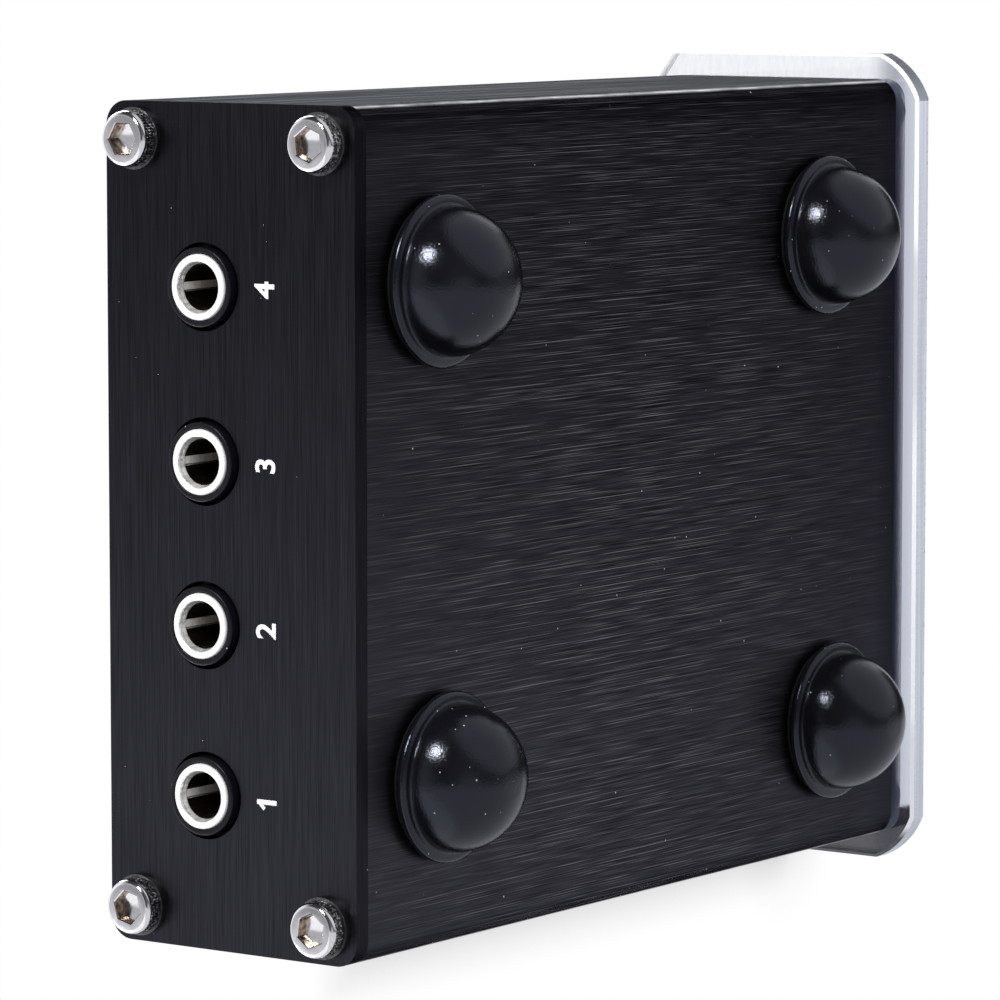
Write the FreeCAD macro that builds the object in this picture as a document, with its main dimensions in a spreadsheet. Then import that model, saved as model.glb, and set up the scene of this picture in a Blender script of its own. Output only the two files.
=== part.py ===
import FreeCAD, Part
import os
import Sketcher

# Audio source selector: a flat black case with four input jacks at the rear, a clear front
# plate that stands out all round, a rotary selector with a knob, and an output jack in front.
# The object stands on four domed feet. X runs along its width, -Y is the front, +Z is up.
# The origin is on the ground, under the middle of the whole object.

Vector = FreeCAD.Vector
Rotation = FreeCAD.Rotation

doc = FreeCAD.newDocument("AudioSourceSelector")
sheet = doc.addObject("Spreadsheet::Sheet", "dim")

# Driving dimensions in millimetres: alias, value, meaning
SIZES = [
    ("case_w", 68.0, "width of the case"),
    ("case_h", 24.9, "height of the case"),
    ("case_depth", 80.2, "rear panel's outer face to the front plate's rear face"),
    ("edge_r", 2.0, "rounding of the case's long edges"),
    ("wall", 1.6, "wall of the extruded shell"),
    ("boss_r", 2.5, "outside radius of the screw channels"),
    ("rail_reach", 1.3, "how far the board rails stand in from the side walls"),
    ("rail_t", 1.0, "thickness of a board rail"),
    ("panel_t", 1.5, "thickness of the rear panel"),
    ("plate_t", 2.15, "thickness of the clear front plate"),
    ("plate_over", 2.25, "how far the front plate stands out past the case"),
    ("corner_leg", 3.9, "length that each lower plate corner takes off its two sides"),
    ("corner_arc", 7.0, "radius of the shallow arc across a lower plate corner"),
    ("top_corner_x", 4.15, "width of the straight cut across an upper plate corner"),
    ("top_corner_z", 3.1, "height of the straight cut across an upper plate corner"),
    ("mask_t", 0.25, "thickness of the black mask on the front plate"),
    ("screw_in_x", 3.0, "screw axis in from the case's side"),
    ("screw_in_z", 3.15, "screw axis in from the case's top or bottom"),
    ("thread_r", 1.25, "radius of the screws' thread"),
    ("thread_slip", 0.05, "radial clearance of a thread in its channel"),
    ("thread_gap", 0.15, "radial clearance of a screw in a panel"),
    ("thread_len", 9.0, "length of a screw under its head"),
    ("head_r", 2.27, "radius of a screw's head"),
    ("head_t", 1.45, "height of a screw's head"),
    ("head_bevel", 0.25, "bevel round a screw's head"),
    ("socket_af", 2.4, "hexagon socket across flats"),
    ("socket_deep", 1.0, "depth of the hexagon socket"),
    ("washer_r", 2.5, "radius of a screw's washer"),
    ("washer_t", 0.5, "thickness of a screw's washer"),
    ("flange_r", 7.0, "radius of a foot's flange"),
    ("flange_t", 0.85, "thickness of a foot's flange"),
    ("rim_round", 0.4, "rounding of the flange's rim"),
    ("dome_r", 6.05, "radius of a foot's dome"),
    ("tip_r", 1.1, "radius of the flat that a foot stands on"),
    ("tape_r", 6.4, "radius of a foot's adhesive disc"),
    ("tape_t", 0.25, "thickness of a foot's adhesive disc"),
    ("rear_left_side", 14.15, "rear left foot, in from the case's left side"),
    ("rear_left_end", 10.6, "rear left foot, in from the rear face"),
    ("rear_right_side", 14.0, "rear right foot, in from the case's right side"),
    ("rear_right_end", 11.4, "rear right foot, in from the rear face"),
    ("front_left_side", 13.2, "front left foot, in from the case's left side"),
    ("front_left_end", 12.4, "front left foot, in from the front plate"),
    ("front_right_side", 11.8, "front right foot, in from the case's right side"),
    ("front_right_end", 11.0, "front right foot, in from the front plate"),
    ("jack_1_x", 21.5, "input jack 1, across"),
    ("jack_2_x", 7.75, "input jack 2, across"),
    ("jack_3_x", -5.4, "input jack 3, across"),
    ("jack_4_x", -19.35, "input jack 4, across"),
    ("out_jack_side", 17.0, "output jack, in from the case's left side"),
    ("jack_up", 15.1, "jack axes above the case's underside"),
    ("nose_r", 3.2, "radius of a jack's nose"),
    ("nose_gap", 0.35, "radial gap round a nose in its panel"),
    ("nose_out", 0.6, "how far a nose stands out of its panel"),
    ("lip_out", 0.15, "how far a tube's mouth stands out of its nose"),
    ("seat_gap", 0.05, "gap between a jack's body and its panel"),
    ("body_w", 7.2, "width of a jack's body"),
    ("body_len", 13.0, "length of a jack's body"),
    ("body_up", 3.2, "height of a jack's body above its axis"),
    ("axis_up", 3.3, "jack axis above the board"),
    ("back_wall", 0.8, "closed end of a jack's body"),
    ("tube_r", 2.65, "outside radius of a jack's sleeve tube"),
    ("bore_r", 1.87, "bore of a jack's sleeve tube"),
    ("flare_r", 2.5, "radius of the tube's flared mouth"),
    ("flare_len", 0.5, "depth of the flared mouth"),
    ("tube_in", 2.7, "how far the tube reaches into the body"),
    ("tube_slip", 0.05, "radial clearance of the tube in the body"),
    ("bore_slip", 0.25, "how much wider the body's bore is than the tube's"),
    ("seam_w", 0.2, "seam of the rolled tube"),
    ("leaf_w", 0.6, "width of the sleeve contact strip"),
    ("leaf_t", 0.25, "thickness of the contact strips"),
    ("leaf_gap", 0.1, "gap round the sleeve contact strip"),
    ("spring_w", 1.0, "width of the tip and ring contacts"),
    ("spring_len", 4.2, "length of the tip and ring contacts"),
    ("spring_gap", 0.1, "gap between the bore and those contacts"),
    ("pocket_gap", 0.25, "room round the contacts in the body"),
    ("pin_r", 0.4, "radius of a board pin"),
    ("pin_gap", 0.1, "radial gap round a board pin"),
    ("pin_out", 1.2, "how far pins stand out under the board"),
    ("tail_in", 1.4, "sleeve pin behind the body's front"),
    ("tip_in", 1.7, "tip pin before the body's back"),
    ("ring_in", 4.4, "ring pin before the body's back"),
    ("board_t", 1.6, "thickness of the circuit boards"),
    ("board_gap", 0.2, "gap between the main board and the side walls"),
    ("board_slip", 0.1, "gap between the main board and its rails"),
    ("board_end", 0.3, "gap between the main board and the end panels"),
    ("knob_side", 20.0, "selector axis, in from the case's right side"),
    ("knob_up", 12.45, "selector axis above the case's underside"),
    ("knob_r", 6.75, "radius of the knob"),
    ("knob_len", 8.4, "length of the knob"),
    ("knob_gap", 0.8, "gap between the knob and the front"),
    ("knob_bevel", 0.7, "bevel round the knob's front"),
    ("knob_cap", 1.5, "solid end of the knob in front of the shaft"),
    ("cavity_r", 5.9, "radius of the hollow in the knob's back"),
    ("cavity_len", 2.9, "depth of the hollow in the knob's back"),
    ("flute_r", 0.35, "radius of a grip flute"),
    ("flute_out", 0.1, "flute axis outside the knob's surface"),
    ("pointer_w", 1.0, "width of the pointer inlay"),
    ("pointer_t", 0.5, "depth of the pointer inlay"),
    ("pointer_in", 1.9, "inner end of the pointer from the axis"),
    ("pointer_slip", 0.02, "gap round the pointer inlay"),
    ("grub_r", 1.25, "radius of the grub screw's hole"),
    ("grub_slip", 0.05, "radial clearance of the grub screw"),
    ("grub_at", 4.9, "grub screw axis from the knob's back"),
    ("grub_deep", 0.8, "grub screw's end below the knob's surface"),
    ("grub_af", 1.3, "grub screw's hexagon socket across flats"),
    ("shaft_r", 3.0, "radius of the selector shaft"),
    ("shaft_slip", 0.05, "radial clearance round the shaft"),
    ("flat_at", 2.5, "shaft's flat from its axis"),
    ("drive_w", 3.2, "width of the shaft's square drive"),
    ("drive_slip", 0.05, "gap round the square drive"),
    ("spigot_r", 1.4, "radius of the shaft's rear spigot"),
    ("spigot_len", 1.0, "length of the rear spigot in its plate"),
    ("bush_r", 3.5, "radius of the threaded bushing"),
    ("bush_len", 5.2, "bushing in front of the plate's rear face"),
    ("bush_gap", 0.15, "radial gap round the bushing in the plate"),
    ("nut_af", 10.0, "bushing nut across flats"),
    ("nut_t", 1.8, "thickness of the bushing nut"),
    ("lock_r", 5.4, "radius of the lock washer"),
    ("lock_t", 0.5, "thickness of the lock washer"),
    ("clip_r", 4.3, "radius of the shaft clip"),
    ("clip_t", 0.6, "thickness of the shaft clip"),
    ("clip_gap", 0.1, "running gap on each side of the shaft clip"),
    ("groove_r", 2.5, "radius of the clip's groove in the shaft"),
    ("switch_w", 16.4, "width of the square switch body"),
    ("frame_t", 1.2, "thickness of the switch frame's face"),
    ("cup_len", 3.0, "depth of the detent cup"),
    ("cup_r", 6.8, "radius of the detent cup"),
    ("dimple_r", 1.1, "radius of a detent dimple"),
    ("dimple_ring_r", 6.2, "radius of the circle of dimples"),
    ("carrier_gap", 0.3, "gap round the detent carrier"),
    ("layer_gap", 0.1, "end gap of the detent carrier and the rotor"),
    ("ball_r", 1.0, "radius of the detent ball"),
    ("ball_slip", 0.05, "clearance round the detent ball"),
    ("coil_wall", 0.3, "wall of the detent spring's outline"),
    ("house_len", 4.5, "length of the contact housing"),
    ("house_r", 6.9, "radius of the contact housing's hollow"),
    ("stop_r", 5.5, "inner radius of the end stops"),
    ("stop_free_deg", 1.0, "free angle at each end stop, degrees"),
    ("stop_gap", 0.3, "gap between the end stops and the wiper"),
    ("rotor_r", 5.2, "radius of the rotor"),
    ("lug_r", 6.6, "reach of the rotor's stop lug"),
    ("lug_w", 1.6, "width of the rotor's stop lug"),
    ("wiper_w", 1.6, "width of the wiper"),
    ("wiper_t", 0.3, "thickness of the wiper"),
    ("wiper_r", 5.9, "reach of the wiper"),
    ("bump_r", 0.4, "radius of the wiper's contact points"),
    ("wipe_gap", 0.05, "gap between contact points and pads"),
    ("pad_r", 0.75, "radius of a contact pad"),
    ("pad_t", 0.2, "thickness of a contact pad"),
    ("pad_ring_r", 5.6, "radius of the circle of contact pads"),
    ("common_ring_r", 3.3, "middle radius of the common contacts"),
    ("common_w", 1.4, "width of the common contacts"),
    ("term_t", 1.6, "thickness of the terminal plate"),
    ("term_gap", 0.05, "radial gap round a terminal"),
    ("term_out", 1.0, "terminals behind the switch board"),
    ("tie_at", 6.7, "tie screws from the axis, across and up"),
    ("tie_r", 0.75, "radius of a tie screw"),
    ("tie_head_r", 1.3, "radius of a tie screw's head"),
    ("tie_head_t", 0.9, "height of a tie screw's head"),
    ("tie_slip", 0.05, "radial clearance of a tie screw"),
    ("tie_front", 0.4, "tie screw's front end behind the frame's face"),
    ("board_space", 1.2, "gap between the terminal plate and the switch board"),
    ("switch_board_w", 27.0, "width of the switch board"),
    ("switch_board_end", 0.6, "gap above and below the switch board"),
    ("notch_gap", 0.3, "gap between the switch board and the main board's notch"),
    ("strip_t", 2.5, "height and depth of the header strip"),
    ("strip_gap", 0.05, "gap between the header strip and the boards"),
    ("header_pitch", 2.0, "pitch of the header pins"),
    ("header_up", 1.3, "header pins above the main board"),
    ("header_r", 0.32, "radius of a header pin"),
    ("header_bend", 1.0, "header pins' bend behind the strip"),
    ("header_out", 0.5, "header pins in front of the switch board"),
]

for row, (alias, size, meaning) in enumerate(SIZES, 1):
    sheet.set(f"A{row}", alias)
    sheet.set(f"B{row}", str(size))
    sheet.set(f"C{row}", meaning)
    sheet.setAlias(f"B{row}", alias)
doc.recompute()

# Counts and angles of the selector, in degrees clockwise from the top as seen from the front
POSITIONS = 4
STEP = 30
TRAVEL = (POSITIONS - 1) * STEP
FIRST = -TRAVEL / 2
DETENTS = 12
FLUTES = 48
HEADER_PINS = 10

# Lines and levels worked out from the sizes
HEAD_OUT = "(dim.washer_t + dim.head_t)"
FACE_T = "(dim.plate_t + dim.mask_t)"
FRONT_OUT = f"({FACE_T} + dim.knob_gap + dim.knob_len)"
REAR = f"((dim.case_depth + {FRONT_OUT} - {HEAD_OUT}) / 2)"
PANEL_IN = f"({REAR} - dim.panel_t)"
SEAT = f"({REAR} - dim.case_depth)"
FRONT = f"({SEAT} - {FACE_T})"
SHELL_LEN = "(dim.case_depth - dim.panel_t)"
FOOT_H = "(dim.flange_t + sqrt(dim.dome_r ^ 2 - dim.tip_r ^ 2))"
BASE = f"(dim.tape_t + {FOOT_H})"
MID = f"({BASE} + dim.case_h / 2)"
HALF_W = "(dim.case_w / 2)"
HALF_H = "(dim.case_h / 2)"
SCREW_X = f"({HALF_W} - dim.screw_in_x)"
SCREW_Z = f"({HALF_H} - dim.screw_in_z)"
JACK_Z = f"({BASE} + dim.jack_up)"
BOARD_TOP = f"({JACK_Z} - dim.axis_up)"
BOARD_LOW = f"({BOARD_TOP} - dim.board_t)"
BOARD_HALF = f"({HALF_W} - dim.wall - dim.board_gap)"
PIN_END = "(dim.axis_up + dim.board_t + dim.pin_out)"
NOSE_HOLE = "(dim.nose_r + dim.nose_gap)"
PANEL_HOLE = "(dim.thread_r + dim.thread_gap)"
KNOB_X = f"({HALF_W} - dim.knob_side)"
KNOB_Z = f"({BASE} + dim.knob_up)"
OUT_JACK_X = f"-({HALF_W} - dim.out_jack_side)"
# Levels along the selector's axis, counted rearwards from the front plate's rear face
CUP_END = "(dim.frame_t + dim.cup_len)"
PAD_END = f"({CUP_END} + dim.house_len)"
PAD_FACE = f"({PAD_END} - dim.pad_t)"
BUMP_Y = f"({PAD_FACE} - dim.wipe_gap - dim.bump_r)"
ROTOR_END = f"({BUMP_Y} - dim.bump_r)"
PLATE_END = f"({PAD_END} + dim.term_t)"
BOARD_FRONT = f"({PLATE_END} + dim.board_space)"
BOARD_BACK = f"({BOARD_FRONT} + dim.board_t)"
STRIP_Y = f"({BOARD_BACK} + dim.strip_gap)"
BEND_Y = f"({STRIP_Y} + dim.strip_t + dim.header_bend)"
SHAFT_OUT = f"({FRONT_OUT} - dim.knob_cap)"
CLIP_Y = "(dim.bush_len + dim.clip_gap)"
HALF_SWITCH = "(dim.switch_w / 2)"
HALF_DRIVE = "(dim.drive_w / 2)"
DRIVE_HOLE = f"({HALF_DRIVE} + dim.drive_slip)"

AXIS_TURN = {
    "x": Rotation(Vector(0, 1, 0), 90),
    "y": Rotation(Vector(1, 0, 0), -90),
    "z": Rotation(),
}
TO_FRONT = Rotation(Vector(0, 0, 1), 180)
AT_FIRST = Rotation(Vector(0, 1, 0), FIRST)
parts = []


def number(text):
    """Value of a size expression."""
    return float(parts_anchor.evalExpression(str(text)))


def place(shape, x="0", y="0", z="0", turn=None):
    """Turn a shape about its own origin and tie its place to expressions."""
    if turn is not None:
        shape.Placement = FreeCAD.Placement(Vector(), turn)
    for axis, text in zip("xyz", (x, y, z)):
        shape.setExpression(f"Placement.Base.{axis}", str(text))
    return shape


def along(axis, shape, start, a, b, turn=None):
    """Lay a round shape along an axis from start; a and b are the other two coordinates."""
    x, y, z = {"x": (start, a, b), "y": (a, start, b), "z": (a, b, start)}[axis]
    return place(shape, x, y, z, turn or AXIS_TURN[axis])


def block(x0, x1, y0, y1, z0, z1):
    """Box between two limits on each axis."""
    box = doc.addObject("Part::Box", "Block")
    for name, low, high in (("Length", x0, x1), ("Width", y0, y1), ("Height", z0, z1)):
        box.setExpression(name, f"({high}) - ({low})")
    return place(box, x0, y0, z0)


def rod(axis, radius, start, end, a="0", b="0"):
    """Cylinder along an axis between two limits."""
    round_bar = doc.addObject("Part::Cylinder", "Rod")
    round_bar.setExpression("Radius", str(radius))
    round_bar.setExpression("Height", f"({end}) - ({start})")
    return along(axis, round_bar, start, a, b)


def taper(axis, radius_start, radius_end, start, end, a="0", b="0"):
    """Cone along an axis between two limits."""
    cone = doc.addObject("Part::Cone", "Taper")
    cone.setExpression("Radius1", str(radius_start))
    cone.setExpression("Radius2", str(radius_end))
    cone.setExpression("Height", f"({end}) - ({start})")
    return along(axis, cone, start, a, b)


def hexagon(axis, flats, start, end, a="0", b="0"):
    """Hexagonal bar along an axis, given across flats."""
    bar = doc.addObject("Part::Prism", "Hexagon")
    bar.Polygon = 6
    bar.setExpression("Circumradius", f"({flats}) / 2 / cos(30)")
    bar.setExpression("Height", f"({end}) - ({start})")
    return along(axis, bar, start, a, b)


def sector(radius, start, end, angle, from_angle, clockwise=True):
    """Slice of a disc about Y, from an angle clockwise from the top as seen from the front."""
    slice_bar = doc.addObject("Part::Cylinder", "Sector")
    slice_bar.setExpression("Radius", str(radius))
    slice_bar.setExpression("Height", f"({end}) - ({start})")
    slice_bar.setExpression("Angle", str(angle))
    if clockwise:
        turn = AXIS_TURN["y"].multiply(Rotation(Vector(0, 0, 1), from_angle - 90))
        return along("y", slice_bar, start, "0", "0", turn)
    turn = AXIS_TURN["y"].inverted().multiply(Rotation(Vector(0, 0, 1), 90 - from_angle))
    return along("y", slice_bar, end, "0", "0", turn)


def ball(radius, x="0", y="0", z="0"):
    """Full sphere."""
    sphere = doc.addObject("Part::Sphere", "Ball")
    sphere.setExpression("Radius", str(radius))
    return place(sphere, x, y, z)


def fuse(*shapes):
    """One solid from overlapping shapes."""
    joined = doc.addObject("Part::MultiFuse", "Fuse")
    joined.Shapes = list(shapes)
    joined.Refine = True
    return joined


def cut(base, *tools):
    """Base with the tools taken away."""
    result = doc.addObject("Part::Cut", "Cut")
    result.Base = base
    result.Tool = tools[0] if len(tools) == 1 else fuse(*tools)
    result.Refine = True
    return result


def group(shapes):
    """Separate solids kept in one node."""
    several = doc.addObject("Part::Compound", "Group")
    several.Links = list(shapes)
    return several


def keep(label, shape):
    """Name a finished sub-part."""
    shape.Label = label
    parts.append(shape)
    return shape


def new_body(label):
    """Empty body with its own origin planes."""
    body = doc.addObject("PartDesign::Body", "Body")
    doc.recompute()
    return keep(label, body) if label else body


def new_sketch(body, role):
    """Sketch on one of a body's origin planes."""
    sketch = body.newObject("Sketcher::SketchObject", "Sketch")
    plane = next(item for item in body.Origin.OriginFeatures if item.Role == role)
    sketch.AttachmentSupport = [(plane, "")]
    sketch.MapMode = "FlatFace"
    return sketch


def fix_point(sketch, geometry, point, x, y):
    """Hold a point of a sketch at two expressions."""
    for kind, text in (("DistanceX", x), ("DistanceY", y)):
        rule = Sketcher.Constraint(kind, -1, 1, geometry, point, number(text))
        sketch.setExpression(f"Constraints[{sketch.addConstraint(rule)}]", text)


def outline(sketch, points, arcs=None):
    """Closed outline through points; arcs gives the radius of each side that is an arc."""
    arcs = arcs or {}
    spots = [Vector(number(x), number(y), 0) for x, y in points]
    first = sketch.GeometryCount
    for side, start in enumerate(spots):
        end = spots[(side + 1) % len(spots)]
        if side in arcs:
            radius = number(arcs[side])
            chord = end - start
            rise = radius - (radius ** 2 - (chord.Length / 2) ** 2) ** 0.5
            outward = Vector(chord.y, -chord.x, 0).normalize()
            middle = (start + end) / 2 + outward * rise
            sketch.addGeometry(Part.Arc(start, middle, end))
            rule = sketch.addConstraint(Sketcher.Constraint("Radius", first + side, radius))
            sketch.setExpression(f"Constraints[{rule}]", arcs[side])
        else:
            sketch.addGeometry(Part.LineSegment(start, end))
    for side, (x, y) in enumerate(points):
        after = first + (side + 1) % len(points)
        sketch.addConstraint(Sketcher.Constraint("Coincident", first + side, 2, after, 1))
        fix_point(sketch, first + side, 1, x, y)


def rectangle(sketch, x0, x1, y0, y1):
    """Rectangle between two limits each way."""
    outline(sketch, [(x0, y0), (x1, y0), (x1, y1), (x0, y1)])


def circle(sketch, radius, x="0", y="0"):
    """Circle with its centre held."""
    centre = Vector(number(x), number(y), 0)
    index = sketch.addGeometry(Part.Circle(centre, Vector(0, 0, 1), number(radius)))
    rule = Sketcher.Constraint("Radius", index, number(radius))
    sketch.setExpression(f"Constraints[{sketch.addConstraint(rule)}]", str(radius))
    fix_point(sketch, index, 3, x, y)


def pad(body, sketch, length):
    """Solid from a sketch on the XZ plane, forwards along -Y."""
    feature = body.newObject("PartDesign::Pad", "Pad")
    feature.Profile = sketch
    feature.setExpression("Length", length)
    doc.recompute()
    return feature


def pocket(body, sketch, length=None):
    """Cut from a sketch on the XZ plane, forwards along -Y, right through if no length is given."""
    before = body.Shape.Volume
    feature = body.newObject("PartDesign::Pocket", "Pocket")
    feature.Profile = sketch
    feature.Reversed = True
    if length:
        feature.setExpression("Length", length)
    else:
        feature.Type = "ThroughAll"
    doc.recompute()
    if not body.Shape.Volume < before:
        raise ValueError("a pocket cut nothing")
    return feature


def round_long_edges(body, radius):
    """Fillet on the edges of the body's last feature that run along Y."""
    solid = body.Tip
    names = [f"Edge{index}" for index, edge in enumerate(solid.Shape.Edges, 1)
             if abs(edge.tangentAt(edge.FirstParameter).y) > 0.999]
    feature = body.newObject("PartDesign::Fillet", "Fillet")
    feature.Base = (solid, names)
    feature.setExpression("Radius", radius)
    doc.recompute()


def corners(x, z):
    """The four places at plus and minus x and z."""
    return [(f"{side} * {x}", f"{level} * {z}") for side in (-1, 1) for level in (-1, 1)]


def polar(radius, angle):
    """X and Z of a point at an angle clockwise from the top as seen from the front."""
    return f"({radius}) * sin({angle})", f"({radius}) * cos({angle})"


parts_anchor = doc.addObject("App::FeaturePython", "Anchor")


# Case, panels and screws

def case_shell():
    """One-piece extruded sleeve with screw channels in its corners and rails for the board."""
    body = new_body("case_shell")
    section = new_sketch(body, "XZ_Plane")
    rectangle(section, f"-{HALF_W}", HALF_W, f"-{HALF_H}", HALF_H)
    pad(body, section, SHELL_LEN)
    round_long_edges(body, "dim.edge_r")
    inner_w = f"({HALF_W} - dim.wall)"
    inner_h = f"({HALF_H} - dim.wall)"
    hollow = new_sketch(body, "XZ_Plane")
    rectangle(hollow, f"-{inner_w}", inner_w, f"-{inner_h}", inner_h)
    pocket(body, hollow)
    ribs = new_sketch(body, "XZ_Plane")
    for x, z in corners(SCREW_X, SCREW_Z):
        circle(ribs, "dim.boss_r", x, z)
    board_top = f"({BOARD_TOP} - {MID} + dim.board_slip)"
    board_low = f"({BOARD_LOW} - {MID} - dim.board_slip)"
    rail_in = f"({inner_w} - dim.rail_reach)"
    rail_out = f"({inner_w} + dim.wall / 2)"
    rails = ((f"({board_low} - dim.rail_t)", board_low), (board_top, f"({board_top} + dim.rail_t)"))
    for low, high in rails:
        rectangle(ribs, rail_in, rail_out, low, high)
        rectangle(ribs, f"-{rail_out}", f"-{rail_in}", low, high)
    pad(body, ribs, SHELL_LEN)
    holes = new_sketch(body, "XZ_Plane")
    for x, z in corners(SCREW_X, SCREW_Z):
        circle(holes, "dim.thread_r + dim.thread_slip", x, z)
    pocket(body, holes)
    place(body, "0", PANEL_IN, MID)


def rear_panel():
    """Flat panel with four jack holes and four screw holes."""
    body = new_body("rear_panel")
    section = new_sketch(body, "XZ_Plane")
    rectangle(section, f"-{HALF_W}", HALF_W, f"-{HALF_H}", HALF_H)
    pad(body, section, "dim.panel_t")
    round_long_edges(body, "dim.edge_r")
    holes = new_sketch(body, "XZ_Plane")
    for jack in ("dim.jack_1_x", "dim.jack_2_x", "dim.jack_3_x", "dim.jack_4_x"):
        circle(holes, NOSE_HOLE, jack, f"{JACK_Z} - {MID}")
    for x, z in corners(SCREW_X, SCREW_Z):
        circle(holes, PANEL_HOLE, x, z)
    pocket(body, holes)
    place(body, "0", REAR, MID)


def front_holes(body):
    """Holes for the bushing, the output jack and the screws in a front layer."""
    holes = new_sketch(body, "XZ_Plane")
    circle(holes, "dim.bush_r + dim.bush_gap", KNOB_X, f"{KNOB_Z} - {MID}")
    circle(holes, NOSE_HOLE, OUT_JACK_X, f"{JACK_Z} - {MID}")
    for x, z in corners(SCREW_X, SCREW_Z):
        circle(holes, PANEL_HOLE, x, z)
    pocket(body, holes)


def front_plate():
    """Clear plate that stands out past the case, its lower corners cut to a shallow arc."""
    body = new_body("front_plate")
    section = new_sketch(body, "XZ_Plane")
    side = f"({HALF_W} + dim.plate_over)"
    level = f"({HALF_H} + dim.plate_over)"
    side_in = f"({side} - dim.corner_leg)"
    level_in = f"({level} - dim.corner_leg)"
    points = [
        (f"-{side_in}", f"-{level}"), (side_in, f"-{level}"),
        (side, f"-{level_in}"), (side, f"({level} - dim.top_corner_z)"),
        (f"({side} - dim.top_corner_x)", level), (f"-({side} - dim.top_corner_x)", level),
        (f"-{side}", f"({level} - dim.top_corner_z)"), (f"-{side}", f"-{level_in}"),
    ]
    outline(section, points, {index: "dim.corner_arc" for index in (1, 7)})
    pad(body, section, "dim.plate_t")
    front_holes(body)
    place(body, "0", SEAT, MID)


def front_mask():
    """Thin black film on the front plate, with the outline of the case."""
    body = new_body("front_mask")
    section = new_sketch(body, "XZ_Plane")
    rectangle(section, f"-{HALF_W}", HALF_W, f"-{HALF_H}", HALF_H)
    pad(body, section, "dim.mask_t")
    round_long_edges(body, "dim.edge_r")
    front_holes(body)
    place(body, "0", f"{SEAT} - dim.plate_t", MID)


def cap_screw():
    """Socket head screw pointing along +Y, with its head's underside at the origin."""
    bevel_start = "(dim.head_t - dim.head_bevel)"
    head = rod("y", "dim.head_r", "0", bevel_start)
    bevel = taper("y", "dim.head_r", "dim.head_r - dim.head_bevel", bevel_start, "dim.head_t")
    thread = rod("y", "dim.thread_r", "-dim.thread_len", "0")
    socket = hexagon("y", "dim.socket_af", "dim.head_t - dim.socket_deep", "dim.head_t + 1")
    return cut(fuse(head, bevel, thread), socket)


def washer():
    """Plain washer behind a screw head whose underside is at the origin."""
    disc = rod("y", "dim.washer_r", "-dim.washer_t", "0")
    return cut(disc, rod("y", PANEL_HOLE, "-dim.washer_t - 1", "1"))


def screw_sets():
    """Four screws and washers at each end of the case."""
    ends = (("rear", f"{REAR} + dim.washer_t", None), ("front", f"{FRONT} - dim.washer_t", TO_FRONT))
    for end, y, turn in ends:
        for name, piece in (("screws", cap_screw), ("washers", washer)):
            places = corners(SCREW_X, SCREW_Z)
            keep(f"{end}_{name}", group([place(piece(), x, y, f"{MID} + {z}", turn) for x, z in places]))


# Feet

FEET = ("rear_left", "rear_right", "front_left", "front_right")


def foot_place(name):
    """X and Y of a foot, from the nearest side and end of the case."""
    side = f"({HALF_W} - dim.{name}_side)"
    x = f"-{side}" if name.endswith("left") else side
    y = f"{REAR} - dim.{name}_end" if name.startswith("rear") else f"{SEAT} + dim.{name}_end"
    return x, y


def foot(name):
    """Rubber foot: a flange with a rounded rim and a dome cut flat at its tip."""
    body = new_body(f"foot_{name}")
    profile = new_sketch(body, "XZ_Plane")
    flange_low = "-dim.flange_t"
    tip = f"-{FOOT_H}"
    points = [
        ("0", tip), ("dim.tip_r", tip), ("dim.dome_r", flange_low),
        ("dim.flange_r", flange_low), ("dim.flange_r", "0"), ("0", "0"),
    ]
    outline(profile, points, {1: "dim.dome_r"})
    turned = body.newObject("PartDesign::Revolution", "Revolution")
    turned.Profile = profile
    turned.ReferenceAxis = (profile, ["V_Axis"])
    doc.recompute()
    low = number(flange_low)
    rim = [f"Edge{index}" for index, edge in enumerate(turned.Shape.Edges, 1)
           if abs(edge.BoundBox.XMax - number("dim.flange_r")) < 1e-6
           and abs(edge.BoundBox.ZMin - low) < 1e-6 and abs(edge.BoundBox.ZMax - low) < 1e-6]
    fillet = body.newObject("PartDesign::Fillet", "Fillet")
    fillet.Base = (turned, rim)
    fillet.setExpression("Radius", "dim.rim_round")
    place(body, *foot_place(name), FOOT_H)


def foot_tapes():
    """Adhesive discs between the feet and the case."""
    discs = [rod("z", "dim.tape_r", FOOT_H, BASE, *foot_place(name)) for name in FEET]
    keep("foot_adhesive_discs", group(discs))


# Jacks: in a jack's own frame the mouth looks along +Y and the panel's outer face is at y = 0

def jack_lines(wall):
    """Levels along a jack's axis for a panel of the given thickness."""
    front = f"(-({wall} + dim.seat_gap))"
    return {
        "front": front,
        "back": f"({front} - dim.body_len)",
        "tube_end": f"({front} - dim.tube_in)",
        "mouth": "(dim.nose_out + dim.lip_out)",
        "flare_end": "(dim.nose_out + dim.lip_out - dim.flare_len)",
    }


def side_contact_x():
    """Middle of a side contact's pin, out from the axis."""
    return "(dim.bore_r + dim.spring_gap + dim.pin_r)"


def jack_pins(wall):
    """Places of a jack's four board pins in its own frame."""
    lines = jack_lines(wall)
    return {
        "sleeve": ("0", f"({lines['front']} - dim.tail_in)"),
        "tip": (side_contact_x(), f"({lines['back']} + dim.tip_in)"),
        "ring": (f"-{side_contact_x()}", f"({lines['back']} + dim.ring_in)"),
        "leaf": ("0", f"({lines['back']} - dim.leaf_gap - dim.leaf_t / 2)"),
    }


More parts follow.
